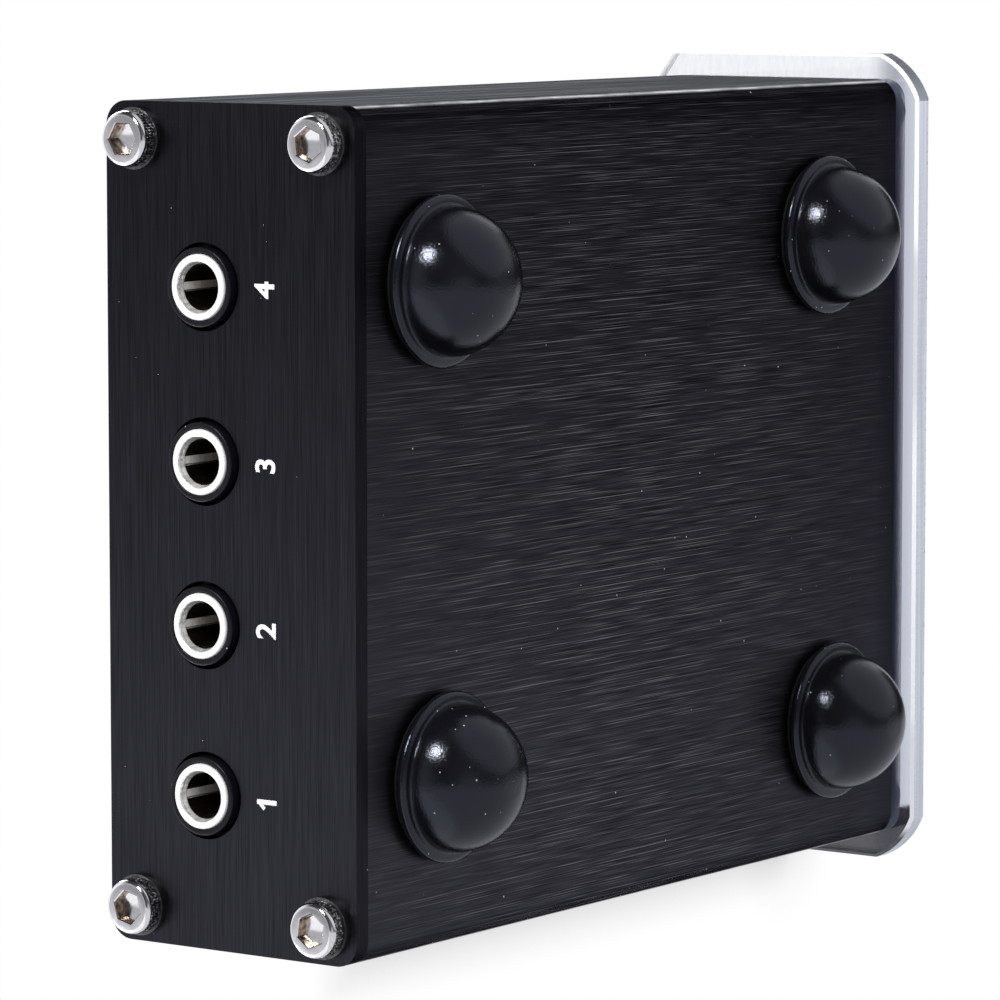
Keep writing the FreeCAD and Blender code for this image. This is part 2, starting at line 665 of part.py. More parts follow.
def jack_housing(wall):
    """Plastic body with a round nose, a stepped bore and room for the contacts."""
    lines = jack_lines(wall)
    pins = jack_pins(wall)
    half = "dim.body_w / 2"
    body = block(f"-{half}", half, lines["back"], lines["front"], "-dim.axis_up", "dim.body_up")
    nose = rod("y", "dim.nose_r", f"{lines['front']} - 1", "dim.nose_out")
    inner_end = f"({lines['back']} + dim.back_wall)"
    pocket_x = f"({side_contact_x()} + dim.pin_r + dim.pin_gap)"
    pocket_z = "(dim.spring_w / 2 + dim.pocket_gap)"
    leaf_half = "(dim.leaf_w / 2 + dim.leaf_gap)"
    leaf_top = "(dim.bore_r + 2 * dim.leaf_gap + dim.leaf_t)"
    tools = [
        rod("y", "dim.tube_r + dim.tube_slip", lines["tube_end"], "dim.nose_out + 1"),
        rod("y", "dim.bore_r + dim.bore_slip", inner_end, f"{lines['tube_end']} + 1"),
        block(f"-{pocket_x}", pocket_x, inner_end, f"{lines['tube_end']} - dim.back_wall",
              f"-{pocket_z}", pocket_z),
        block(f"-{leaf_half}", leaf_half, f"{lines['back']} - 1", f"{lines['tube_end']} + 1",
              "dim.bore_r / 2", leaf_top),
    ]
    for name in ("sleeve", "tip", "ring"):
        x, y = pins[name]
        tools.append(rod("z", "dim.pin_r + dim.pin_gap", "-dim.axis_up - 1", "0", x, y))
    return cut(fuse(body, nose), *tools)


def jack_tube(wall):
    """Rolled metal tube with a flared mouth, a seam along its top and one board pin."""
    lines = jack_lines(wall)
    x, y = jack_pins(wall)["sleeve"]
    tube = rod("y", "dim.tube_r", lines["tube_end"], lines["mouth"])
    tail = rod("z", "dim.pin_r", f"-{PIN_END}", "-(dim.bore_r + dim.tube_r) / 2", x, y)
    slot_half = "(dim.leaf_w / 2 + dim.leaf_gap)"
    seam_half = "(dim.seam_w / 2)"
    top = "dim.tube_r + 1"
    bore = rod("y", "dim.bore_r", f"{lines['tube_end']} - 1", f"{lines['mouth']} + 1")
    flare = taper("y", "dim.bore_r", "dim.flare_r", lines["flare_end"], lines["mouth"])
    seam = block(f"-{seam_half}", seam_half, f"{lines['flare_end']} - 1", f"{lines['mouth']} + 1",
                 "0", top)
    slot = block(f"-{slot_half}", slot_half, f"{lines['tube_end']} - 1", lines["flare_end"], "0", top)
    return cut(fuse(tube, tail), bore, flare, seam, slot)


def jack_contacts(wall):
    """Sleeve strip over the bore and the tip and ring contacts beside it."""
    lines = jack_lines(wall)
    pins = jack_pins(wall)
    leaf_low = "(dim.bore_r + dim.leaf_gap)"
    leaf_high = f"({leaf_low} + dim.leaf_t)"
    half = "dim.leaf_w / 2"
    leg_front = f"({lines['back']} - dim.leaf_gap)"
    leg_back = f"({leg_front} - dim.leaf_t)"
    strip_end = f"({lines['flare_end']} - dim.leaf_gap)"
    strip = block(f"-{half}", half, leg_back, strip_end, leaf_low, leaf_high)
    leg = block(f"-{half}", half, leg_back, leg_front, f"-{PIN_END}", leaf_high)
    contacts = [fuse(strip, leg)]
    for name, side, ahead in (("tip", 1, 1), ("ring", -1, 0)):
        x, y = pins[name]
        inner = f"({side} * (dim.bore_r + dim.spring_gap))"
        outer = f"({inner} + {side} * dim.leaf_t)"
        low, high = (inner, outer) if side > 0 else (outer, inner)
        start = f"({y} - dim.pin_r)"
        spring = block(low, high, start, f"{start} + dim.spring_len",
                       "-dim.spring_w / 2", "dim.spring_w / 2")
        pin = rod("z", "dim.pin_r", f"-{PIN_END}", "dim.spring_w / 2", x, y)
        contacts.append(fuse(spring, pin))
    return group(contacts)


JACKS = [(f"input_jack_{number_of}", f"dim.jack_{number_of}_x", "dim.panel_t", REAR, 1)
         for number_of in (1, 2, 3, 4)]
JACKS.append(("output_jack", OUT_JACK_X, FACE_T, FRONT, -1))


def jacks():
    """Four input jacks in the rear panel and the output jack in the front plate."""
    for label, x, wall, face, side in JACKS:
        turn = None if side > 0 else TO_FRONT
        for piece, make in (("housing", jack_housing), ("tube", jack_tube), ("contacts", jack_contacts)):
            keep(f"{label}_{piece}", place(make(wall), x, face, JACK_Z, turn))


# Boards

HEADER_X = [f"({KNOB_X} + {index - (HEADER_PINS - 1) / 2} * dim.header_pitch)"
            for index in range(HEADER_PINS)]
HEADER_Z = f"({BOARD_TOP} + dim.header_up)"


def main_board():
    """Board in the case's rails, notched round the selector, with holes for every pin."""
    board = block(f"-{BOARD_HALF}", BOARD_HALF, f"{SEAT} + dim.board_end", f"{PANEL_IN} - dim.board_end",
                  BOARD_LOW, BOARD_TOP)
    tools = [block(f"{KNOB_X} - dim.switch_board_w / 2 - dim.notch_gap", f"{BOARD_HALF} + 1",
                   f"{SEAT} - 1", f"{SEAT} + {BOARD_BACK} + dim.notch_gap / 2",
                   f"{BOARD_LOW} - 1", f"{BOARD_TOP} + 1")]
    spots = [(x, f"{SEAT} + {BEND_Y}", "dim.header_r + dim.pin_gap") for x in HEADER_X]
    for _, x, wall, face, side in JACKS:
        for pin_x, pin_y in jack_pins(wall).values():
            hole_x = f"{x} + {side} * ({pin_x})"
            hole_y = f"{face} + {side} * ({pin_y})"
            spots.append((hole_x, hole_y, "dim.pin_r + dim.pin_gap"))
    tools += [rod("z", radius, f"{BOARD_LOW} - 1", f"{BOARD_TOP} + 1", x, y) for x, y, radius in spots]
    keep("main_board", cut(board, *tools))


def switch_board():
    """Upright board behind the selector that carries its terminals."""
    half = "dim.switch_board_w / 2"
    reach = f"({HALF_H} - dim.wall - dim.switch_board_end)"
    middle = f"({MID} - {KNOB_Z})"
    board = block(f"-{half}", half, BOARD_FRONT, BOARD_BACK,
                  f"{middle} - {reach}", f"{middle} + {reach}")
    holes = [rod("y", "dim.pin_r + dim.pin_gap", f"{BOARD_FRONT} - 1", f"{BOARD_BACK} + 1", x, z)
             for x, z in terminal_places()]
    holes += [rod("y", "dim.header_r + dim.pin_gap", f"{BOARD_FRONT} - 1", f"{BOARD_BACK} + 1",
                  f"{x} - {KNOB_X}", f"{HEADER_Z} - {KNOB_Z}") for x in HEADER_X]
    at_switch(keep("switch_board", cut(board, *holes)))


def board_header():
    """Right-angle header that joins the two boards."""
    half = f"({HEADER_PINS} * dim.header_pitch / 2)"
    low = f"({BOARD_TOP} + dim.strip_gap)"
    strip = block(f"{KNOB_X} - {half}", f"{KNOB_X} + {half}", f"{SEAT} + {STRIP_Y}",
                  f"{SEAT} + {STRIP_Y} + dim.strip_t", low, f"{low} + dim.strip_t")
    holes = [rod("y", "dim.header_r + dim.term_gap", f"{SEAT} + {STRIP_Y} - 1",
                 f"{SEAT} + {STRIP_Y} + dim.strip_t + 1", x, HEADER_Z) for x in HEADER_X]
    keep("header_strip", cut(strip, *holes))
    pins = []
    for x in HEADER_X:
        bend = f"{SEAT} + {BEND_Y}"
        pins.append(fuse(
            rod("y", "dim.header_r", f"{SEAT} + {BOARD_FRONT} - dim.header_out", bend, x, HEADER_Z),
            ball("dim.header_r", x, bend, HEADER_Z),
            rod("z", "dim.header_r", f"{BOARD_LOW} - dim.pin_out", HEADER_Z, x, bend)))
    keep("header_pins", group(pins))


# Selector: in its own frame y = 0 is the front plate's rear face and +Y runs into the case.
# What turns is drawn with the pointer up and placed at the first position.

def at_switch(shape, turning=False):
    """Put a selector piece on the selector's axis."""
    return place(shape, KNOB_X, SEAT, KNOB_Z, AT_FIRST if turning else None)


def tie_places():
    """Places of the two tie screws."""
    return [("dim.tie_at", "dim.tie_at"), ("-dim.tie_at", "-dim.tie_at")]


def tie_holes(radius, start, end):
    """Tools for the tie screws' holes."""
    return [rod("y", radius, start, end, x, z) for x, z in tie_places()]


def pad_angles():
    """Angles of the contact pads of both poles."""
    return [FIRST + STEP * index + half_turn for half_turn in (0, 180) for index in range(POSITIONS)]


def terminal_places():
    """Places of the pad terminals and of the two common terminals."""
    return [polar("dim.pad_ring_r", angle) for angle in pad_angles()] + [
        polar("dim.common_ring_r", 0), polar("dim.common_ring_r", 180)]


def switch_body(start, end):
    """Square block of the switch between two levels."""
    return block(f"-{HALF_SWITCH}", HALF_SWITCH, start, end, f"-{HALF_SWITCH}", HALF_SWITCH)


def square_hole(start, end):
    """Tool for the hole that takes the shaft's drive."""
    return block(f"-{DRIVE_HOLE}", DRIVE_HOLE, start, end, f"-{DRIVE_HOLE}", DRIVE_HOLE)


def switch_frame():
    """Metal frame: threaded bushing in front, detent cup behind."""
    bushing = rod("y", "dim.bush_r", "-dim.bush_len", "dim.frame_t")
    tools = [rod("y", "dim.shaft_r + dim.shaft_slip", "-dim.bush_len - 1", "dim.frame_t + 1"),
             rod("y", "dim.cup_r", "dim.frame_t", f"{CUP_END} + 1")]
    for index in range(DETENTS):
        x, z = polar("dim.dimple_ring_r", FIRST + index * 360 / DETENTS)
        tools.append(rod("y", "dim.dimple_r", "dim.frame_t", f"{CUP_END} + 1", x, z))
    tools += tie_holes("dim.tie_r + dim.tie_slip", "dim.tie_front", f"{CUP_END} + 1")
    at_switch(keep("switch_frame", cut(fuse(switch_body("0", CUP_END), bushing), *tools)))


def detent():
    """Carrier on the shaft with a spring and a ball that faces the cup's dimples."""
    low = "(dim.frame_t + dim.layer_gap)"
    high = f"({CUP_END} - dim.layer_gap)"
    middle = f"(({low} + {high}) / 2)"
    radius = "(dim.cup_r - dim.carrier_gap)"
    ball_z = "(dim.cup_r - dim.ball_slip - dim.ball_r)"
    seat = f"({HALF_DRIVE} + dim.ball_r)"
    carrier = cut(rod("y", radius, low, high), square_hole("0", f"{high} + 1"),
                  rod("z", "dim.ball_r + dim.ball_slip", seat, "dim.cup_r + 1", "0", middle))
    at_switch(keep("detent_carrier", carrier), True)
    spring_top = f"({ball_z} - dim.ball_r)"
    spring = cut(rod("z", "dim.ball_r", seat, spring_top, "0", middle),
                 rod("z", "dim.ball_r - dim.coil_wall", f"{seat} - 1", f"{spring_top} + 1", "0", middle))
    at_switch(keep("detent_spring", spring), True)
    at_switch(keep("detent_ball", group([ball("dim.ball_r", "0", middle, ball_z)])), True)


def contact_housing():
    """Plastic block round the rotor, with end stops for its lug."""
    shell = cut(switch_body(CUP_END, PAD_END),
                rod("y", "dim.house_r", f"{CUP_END} - 1", f"{PAD_END} + 1"))
    stop_half = f"(180 - {TRAVEL / 2} - dim.lug_w / 2 / dim.stop_r * 180 / pi - dim.stop_free_deg)"
    reach = "(dim.house_r + dim.stop_r) / 2 + (dim.house_r - dim.stop_r)"
    stop_end = f"({ROTOR_END} - dim.stop_gap)"
    stops = [sector(reach, CUP_END, stop_end, stop_half, 0, clockwise) for clockwise in (True, False)]
    stop_ring = cut(fuse(*stops), rod("y", "dim.stop_r", f"{CUP_END} - 1", f"{PAD_END} + 1"))
    tools = tie_holes("dim.tie_r + dim.tie_slip", f"{CUP_END} - 1", f"{PAD_END} + 1")
    at_switch(keep("contact_housing", cut(fuse(shell, stop_ring), *tools)))


def rotor():
    """Plastic rotor with its stop lug, and the double wiper on its rear face."""
    low = f"({CUP_END} + dim.layer_gap)"
    disc = rod("y", "dim.rotor_r", low, ROTOR_END)
    lug = block("-dim.lug_w / 2", "dim.lug_w / 2", low, ROTOR_END, "-dim.lug_r", "-dim.rotor_r / 2")
    at_switch(keep("switch_rotor", cut(fuse(disc, lug), square_hole("0", f"{ROTOR_END} + 1"))), True)
    arm = block("-dim.wiper_w / 2", "dim.wiper_w / 2", ROTOR_END, f"{ROTOR_END} + dim.wiper_t",
                "-dim.wiper_r", "dim.wiper_r")
    hub = rod("y", f"{DRIVE_HOLE} * 1.7", ROTOR_END, f"{ROTOR_END} + dim.wiper_t")
    points = [ball("dim.bump_r", "0", BUMP_Y, f"{side} * {reach}")
              for side in (-1, 1) for reach in ("dim.pad_ring_r", "dim.common_ring_r")]
    below = block("-dim.wiper_r", "dim.wiper_r", f"{ROTOR_END} - 1", ROTOR_END,
                  "-dim.wiper_r", "dim.wiper_r")
    wiper = cut(fuse(arm, hub, *points), square_hole("0", f"{PAD_END} + 1"), below)
    at_switch(keep("rotor_wiper", wiper), True)


def terminals():
    """Insulating plate with the pads and pins of both poles."""
    places = terminal_places()
    term_hole = "dim.pin_r + dim.term_gap"
    tools = [rod("y", term_hole, f"{PAD_END} - 1", f"{PLATE_END} + 1", x, z) for x, z in places]
    tools.append(rod("y", "dim.spigot_r + dim.shaft_slip", f"{PAD_END} - 1", f"{PLATE_END} + 1"))
    tools += tie_holes("dim.tie_r + dim.tie_slip", f"{PAD_END} - 1", f"{PLATE_END} + 1")
    at_switch(keep("terminal_plate", cut(switch_body(PAD_END, PLATE_END), *tools)))
    pin_end = f"({BOARD_BACK} + dim.term_out)"
    pieces = []
    for angle in pad_angles():
        x, z = polar("dim.pad_ring_r", angle)
        pieces.append(fuse(rod("y", "dim.pad_r", PAD_FACE, PAD_END, x, z),
                           rod("y", "dim.pin_r", PAD_FACE, pin_end, x, z)))
    for middle in (0, 180):
        x, z = polar("dim.common_ring_r", middle)
        span = TRAVEL + STEP
        outside = "dim.common_ring_r + dim.common_w / 2"
        inside = "dim.common_ring_r - dim.common_w / 2"
        strip = cut(sector(outside, PAD_FACE, PAD_END, span, middle - span / 2),
                    rod("y", inside, f"{PAD_FACE} - 1", f"{PAD_END} + 1"))
        pieces.append(fuse(strip, rod("y", "dim.pin_r", PAD_FACE, pin_end, x, z)))
    at_switch(keep("switch_terminals", group(pieces)))


def switch_ties():
    """Two long screws that hold the switch's layers together."""
    ties = [fuse(rod("y", "dim.tie_r", "dim.tie_front", PLATE_END, x, z),
                 rod("y", "dim.tie_head_r", PLATE_END, f"{PLATE_END} + dim.tie_head_t", x, z))
            for x, z in tie_places()]
    at_switch(keep("switch_tie_screws", group(ties)))


def shaft():
    """Selector shaft: flat for the knob, clip groove, square drive and rear spigot."""
    main = rod("y", "dim.shaft_r", f"-{SHAFT_OUT}", "dim.frame_t")
    drive = block(f"-{HALF_DRIVE}", HALF_DRIVE, "0", f"{PAD_FACE} - dim.wipe_gap",
                  f"-{HALF_DRIVE}", HALF_DRIVE)
    spigot = rod("y", "dim.spigot_r", "0", f"{PAD_END} + dim.spigot_len")
    flat = block("-dim.shaft_r", "dim.shaft_r", f"-{SHAFT_OUT} - 1", f"-{CLIP_Y} - dim.clip_t - 1",
                 "-dim.shaft_r - 1", "-dim.flat_at")
    groove_front = f"-{CLIP_Y} - dim.clip_t - dim.clip_gap"
    groove_back = f"-{CLIP_Y} + dim.clip_gap"
    groove = cut(rod("y", "dim.shaft_r + 1", groove_front, groove_back),
                 rod("y", "dim.groove_r", f"-{SHAFT_OUT}", "0"))
    at_switch(keep("selector_shaft", cut(fuse(main, drive, spigot), flat, groove)), True)
    ring = rod("y", "dim.clip_r", f"-{CLIP_Y} - dim.clip_t", f"-{CLIP_Y}")
    inner = rod("y", "dim.groove_r + dim.shaft_slip", f"-{CLIP_Y} - dim.clip_t - 1", "0")
    mouth = block("-dim.groove_r * 0.8", "dim.groove_r * 0.8", f"-{CLIP_Y} - dim.clip_t - 1", "0",
                  "0", "dim.clip_r + 1")
    at_switch(keep("shaft_clip", cut(ring, inner, mouth)), True)


def bushing_fixings():
    """Lock washer and nut that hold the switch to the front plate."""
    lock_y = f"(-{FACE_T} - dim.lock_t)"
    hole = "dim.bush_r + dim.thread_slip"
    lock = cut(rod("y", "dim.lock_r", lock_y, f"-{FACE_T}"), rod("y", hole, f"{lock_y} - 1", "0"))
    at_switch(keep("lock_washer", lock))
    nut_y = f"({lock_y} - dim.nut_t)"
    nut = cut(hexagon("y", "dim.nut_af", nut_y, lock_y), rod("y", hole, f"{nut_y} - 1", "0"))
    at_switch(keep("bushing_nut", nut))


def knob():
    """Turned knob with grip flutes, a pointer inlaid in its front and a grub screw."""
    back = f"(-{FACE_T} - dim.knob_gap)"
    body = new_body(None)
    disc = new_sketch(body, "XZ_Plane")
    circle(disc, "dim.knob_r")
    pad(body, disc, "dim.knob_len")
    front = body.Tip
    rim = [f"Edge{index}" for index, edge in enumerate(front.Shape.Edges, 1)
           if abs(edge.BoundBox.YMax + number("dim.knob_len")) < 1e-6]
    bevel = body.newObject("PartDesign::Chamfer", "Chamfer")
    bevel.Base = (front, rim)
    bevel.setExpression("Size", "dim.knob_bevel")
    doc.recompute()
    flute_line = new_sketch(body, "XZ_Plane")
    circle(flute_line, "dim.flute_r", "dim.knob_r + dim.flute_out", "0")
    flute = pocket(body, flute_line)
    pattern = body.newObject("PartDesign::PolarPattern", "PolarPattern")
    pattern.Originals = [flute]
    pattern.Axis = (next(item for item in body.Origin.OriginFeatures if item.Role == "Y_Axis"), [""])
    pattern.Angle = 360
    pattern.Occurrences = FLUTES
    body.Tip = pattern
    doc.recompute()
    hollow = new_sketch(body, "XZ_Plane")
    circle(hollow, "dim.cavity_r")
    pocket(body, hollow, "dim.cavity_len")
    bore = new_sketch(body, "XZ_Plane")
    circle(bore, "dim.shaft_r + dim.shaft_slip")
    pocket(body, bore, "dim.knob_len - dim.knob_cap")
    place(body, "0", back, "0")
    grub_y = f"({back} - dim.grub_at)"
    front_y = f"({back} - dim.knob_len)"
    inlay_y = f"({front_y} + dim.pointer_t)"
    pointer_half = "(dim.pointer_w / 2)"
    grub_hole = rod("z", "dim.grub_r", "-dim.knob_r - 1", "0", "0", grub_y)
    slot = block(f"-{pointer_half}", pointer_half, f"{front_y} - 1", inlay_y,
                 "dim.pointer_in", "dim.knob_r + 1")
    at_switch(keep("selector_knob", cut(body, grub_hole, slot)), True)
    inlay_half = f"({pointer_half} - dim.pointer_slip)"
    inlay = block(f"-{inlay_half}", inlay_half, front_y, inlay_y, "dim.pointer_in + dim.pointer_slip",
                  "dim.knob_r - dim.knob_bevel")
    at_switch(keep("knob_pointer", group([inlay])), True)
    grub_low = "(-dim.knob_r + dim.grub_deep)"
    grub_high = "(-dim.flat_at - dim.grub_slip)"
    socket_end = f"({grub_low} + {grub_high}) / 2"
    grub = cut(rod("z", "dim.grub_r - dim.grub_slip", grub_low, grub_high, "0", grub_y),
               hexagon("z", "dim.grub_af", f"{grub_low} - 1", socket_end, "0", grub_y))
    at_switch(keep("knob_grub_screw", grub), True)


case_shell()
rear_panel()
front_plate()
front_mask()
screw_sets()
for foot_name in FEET:
    foot(foot_name)
foot_tapes()
jacks()
main_board()
switch_board()
board_header()
switch_frame()
detent()
contact_housing()
rotor()
terminals()
switch_ties()
shaft()
bushing_fixings()
knob()
doc.recompute()

# Nothing is written unless every object is sound
for item in doc.Objects:
    if "Invalid" in item.State or "Error" in item.State:
        raise ValueError(f"{item.Label} failed: {item.State}")
for item in parts:
    if item.Shape.isNull() or not item.Shape.isValid() or not item.Shape.Solids:
        raise ValueError(f"{item.Label} has no sound shape")

os.makedirs("parts", exist_ok=True)
for item in parts:
    item.Shape.exportStep(f"parts/{item.Label}.step")
    print(item.Label, len(item.Shape.Solids), round(item.Shape.Volume, 2))
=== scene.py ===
import math

import bmesh
import bpy
from mathutils import Matrix, Vector


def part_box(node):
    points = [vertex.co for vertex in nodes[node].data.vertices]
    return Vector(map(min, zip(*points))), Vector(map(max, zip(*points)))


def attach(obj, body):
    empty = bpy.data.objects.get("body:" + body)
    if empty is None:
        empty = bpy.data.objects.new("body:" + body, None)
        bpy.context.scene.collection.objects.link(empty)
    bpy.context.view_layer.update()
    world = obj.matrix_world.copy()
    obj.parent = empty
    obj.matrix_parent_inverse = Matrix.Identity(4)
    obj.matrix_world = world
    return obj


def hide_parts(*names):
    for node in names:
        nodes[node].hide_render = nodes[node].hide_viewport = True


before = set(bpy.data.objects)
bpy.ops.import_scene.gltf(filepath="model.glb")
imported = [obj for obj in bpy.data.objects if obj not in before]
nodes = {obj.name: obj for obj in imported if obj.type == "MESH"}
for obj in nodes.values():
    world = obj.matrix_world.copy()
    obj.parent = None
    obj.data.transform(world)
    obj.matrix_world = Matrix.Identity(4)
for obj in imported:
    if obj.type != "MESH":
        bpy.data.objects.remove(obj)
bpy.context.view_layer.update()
mm = 0.001
bpy.ops.object.select_all(action="DESELECT")


# Case shell. An extruded aluminium sleeve, brushed from end to end and anodised black. The
# strokes are fine scratches along Y, a few of them brighter, and a little dust has settled on it.

def plain_finish(name, color, rough, metallic=0.0, specular=0.5):
    """A material with one Principled shader, ready for its textures."""
    finish = bpy.data.materials.new(name)
    finish.use_nodes = True
    shader = finish.node_tree.nodes["Principled BSDF"]
    shader.inputs["Base Color"].default_value = (*color, 1.0)
    shader.inputs["Roughness"].default_value = rough
    shader.inputs["Metallic"].default_value = metallic
    shader.inputs["Specular IOR Level"].default_value = specular
    return finish, finish.node_tree, shader


def new_group(name, inputs, outputs):
    """An empty shader node group; returns it, the sources of its inputs and its output sockets."""
    tree = bpy.data.node_groups.new(name, "ShaderNodeTree")
    for in_out, sockets in (("INPUT", inputs), ("OUTPUT", outputs)):
        for socket, kind in sockets.items():
            tree.interface.new_socket(socket, in_out=in_out, socket_type=f"NodeSocket{kind}")
    return (tree, tree.nodes.new("NodeGroupInput").outputs,
            tree.nodes.new("NodeGroupOutput").inputs)


def fill(tree, socket, value):
    """Give a socket a number, a colour or a link."""
    if isinstance(value, tuple):
        socket.default_value = (*value, 1.0)
    elif isinstance(value, (int, float)):
        socket.default_value = value
    else:
        tree.links.new(value, socket)


def math_node(tree, operation, *values, clamp=False):
    """A Math node fed by sockets or numbers; returns its result."""
    node = tree.nodes.new("ShaderNodeMath")
    node.operation = operation
    node.use_clamp = clamp
    for socket, value in zip(node.inputs, values):
        fill(tree, socket, value)
    return node.outputs[0]


def product(tree, first, *others):
    """The product of sockets or numbers."""
    for other in others:
        first = math_node(tree, "MULTIPLY", first, other)
    return first


def scaled(tree, value, gain, offset, clamp=False):
    """A value times a gain, plus an offset."""
    return math_node(tree, "MULTIPLY_ADD", value, gain, offset, clamp=clamp)


def ramp(tree, value, start, slope):
    """A mask that is 0 up to the start and then grows by the slope until it is 1."""
    return scaled(tree, value, slope, -slope * start, clamp=True)


def place_node(tree, scale=(1, 1, 1), shift=(0, 0, 0)):
    """Object coordinates through a Mapping node."""
    coords = tree.nodes.new("ShaderNodeTexCoord")
    mapping = tree.nodes.new("ShaderNodeMapping")
    mapping.inputs["Scale"].default_value = scale
    mapping.inputs["Location"].default_value = shift
    tree.links.new(coords.outputs["Object"], mapping.inputs["Vector"])
    return mapping.outputs["Vector"]


def axes_node(tree, scale=(1, 1, 1)):
    """Object coordinates with one output for each axis."""
    axes = tree.nodes.new("ShaderNodeSeparateXYZ")
    tree.links.new(place_node(tree, scale), axes.inputs["Vector"])
    return axes.outputs


def noise_node(tree, vector, scale, detail, rough=0.5):
    """A Noise texture; returns its value."""
    node = tree.nodes.new("ShaderNodeTexNoise")
    node.inputs["Scale"].default_value = scale
    node.inputs["Detail"].default_value = detail
    node.inputs["Roughness"].default_value = rough
    tree.links.new(vector, node.inputs["Vector"])
    return node.outputs["Fac"]


def grain_node(tree, scale, detail, rough=0.5):
    """Noise on object coordinates, with one scale or with one for each axis."""
    if isinstance(scale, tuple):
        return noise_node(tree, place_node(tree, scale), 1.0, detail, rough)
    return noise_node(tree, place_node(tree), scale, detail, rough)


def mix_color(tree, amount, first, second):
    """A Mix node for colours; each is a socket or a tuple."""
    node = tree.nodes.new("ShaderNodeMix")
    node.data_type = "RGBA"
    sockets = {socket.identifier: socket for socket in (*node.inputs, *node.outputs)}
    fill(tree, sockets["Factor_Float"], amount)
    fill(tree, sockets["A_Color"], first)
    fill(tree, sockets["B_Color"], second)
    return sockets["Result_Color"]


def add_group(tree, group, values):
    """Place a node group in a material, with its values or links; returns its outputs."""
    node = tree.nodes.new("ShaderNodeGroup")
    node.node_tree = group
    for socket, value in values.items():
        fill(tree, node.inputs[socket], value)
    return node.outputs


def feed(shader, socket, source):
    """Link a source to one of the shader's sockets."""
    shader.id_data.links.new(source, shader.inputs[socket])


def add_bump(shader, height, distance, strength):
    """A Bump node into the shader's normal."""
    tree = shader.id_data
    bump = tree.nodes.new("ShaderNodeBump")
    bump.inputs["Distance"].default_value = distance
    bump.inputs["Strength"].default_value = strength
    tree.links.new(height, bump.inputs["Height"])
    feed(shader, "Normal", bump.outputs["Normal"])


# Brush strokes: fine grain all over, with straight bright lines and dark grooves that break off
# here and there
strokes_group, strokes_in, strokes_out = new_group(
    "brush_strokes",
    {"Place": "Vector", "Line Place": "Vector", "Groove Place": "Vector",
     "Break Place": "Vector", "Contrast": "Float"},
    {"Tone": "Float", "Line": "Float", "Groove": "Float", "Height": "Float"})
fine_grain = noise_node(strokes_group, strokes_in["Place"], 1.0, 1.0)
spread = product(strokes_group, math_node(strokes_group, "SUBTRACT", fine_grain, 0.5),
                 strokes_in["Contrast"])
strokes_group.links.new(math_node(strokes_group, "ADD", spread, 0.5, clamp=True),
                        strokes_out["Tone"])
strokes_group.links.new(fine_grain, strokes_out["Height"])
break_noise = noise_node(strokes_group, strokes_in["Break Place"], 1.0, 1.0)
unbroken = scaled(strokes_group, break_noise, 6.0, -2.75, clamp=True)
for output in ("Line", "Groove"):
    long_noise = noise_node(strokes_group, strokes_in[f"{output} Place"], 1.0, 1.0)
    long_marks = scaled(strokes_group, long_noise, 8.0, -3.95, clamp=True)
    strokes_group.links.new(product(strokes_group, unbroken, long_marks), strokes_out[output])

# Dust: a few small round specks, placed by the cells of a Voronoi texture
dust_group, dust_in, dust_out = new_group(
    "dust_specks", {"Place": "Vector", "Share": "Float", "Size": "Float"}, {"Mask": "Float"})
cells = dust_group.nodes.new("ShaderNodeTexVoronoi")
cells.inputs["Scale"].default_value = 1.0
dust_group.links.new(dust_in["Place"], cells.inputs["Vector"])
cell_values = dust_group.nodes.new("ShaderNodeSeparateColor")
dust_group.links.new(cells.outputs["Color"], cell_values.inputs["Color"])
speck_size = product(dust_group, dust_in["Size"],
                     math_node(dust_group, "ADD", cell_values.outputs["Green"], 0.35))
near_speck = math_node(dust_group, "LESS_THAN", cells.outputs["Distance"], speck_size)
chosen = math_node(dust_group, "LESS_THAN", cell_values.outputs["Red"], dust_in["Share"])
dust_group.links.new(product(dust_group, near_speck, chosen), dust_out["Mask"])


def dust_mask(tree, cells_per_metre, share, size):
    """Dust on a finish; size is that of a speck within its cell, and share that of filled cells."""
    return add_group(tree, dust_group, {"Place": place_node(tree, (cells_per_metre,) * 3),
                                        "Share": share, "Size": size})["Mask"]


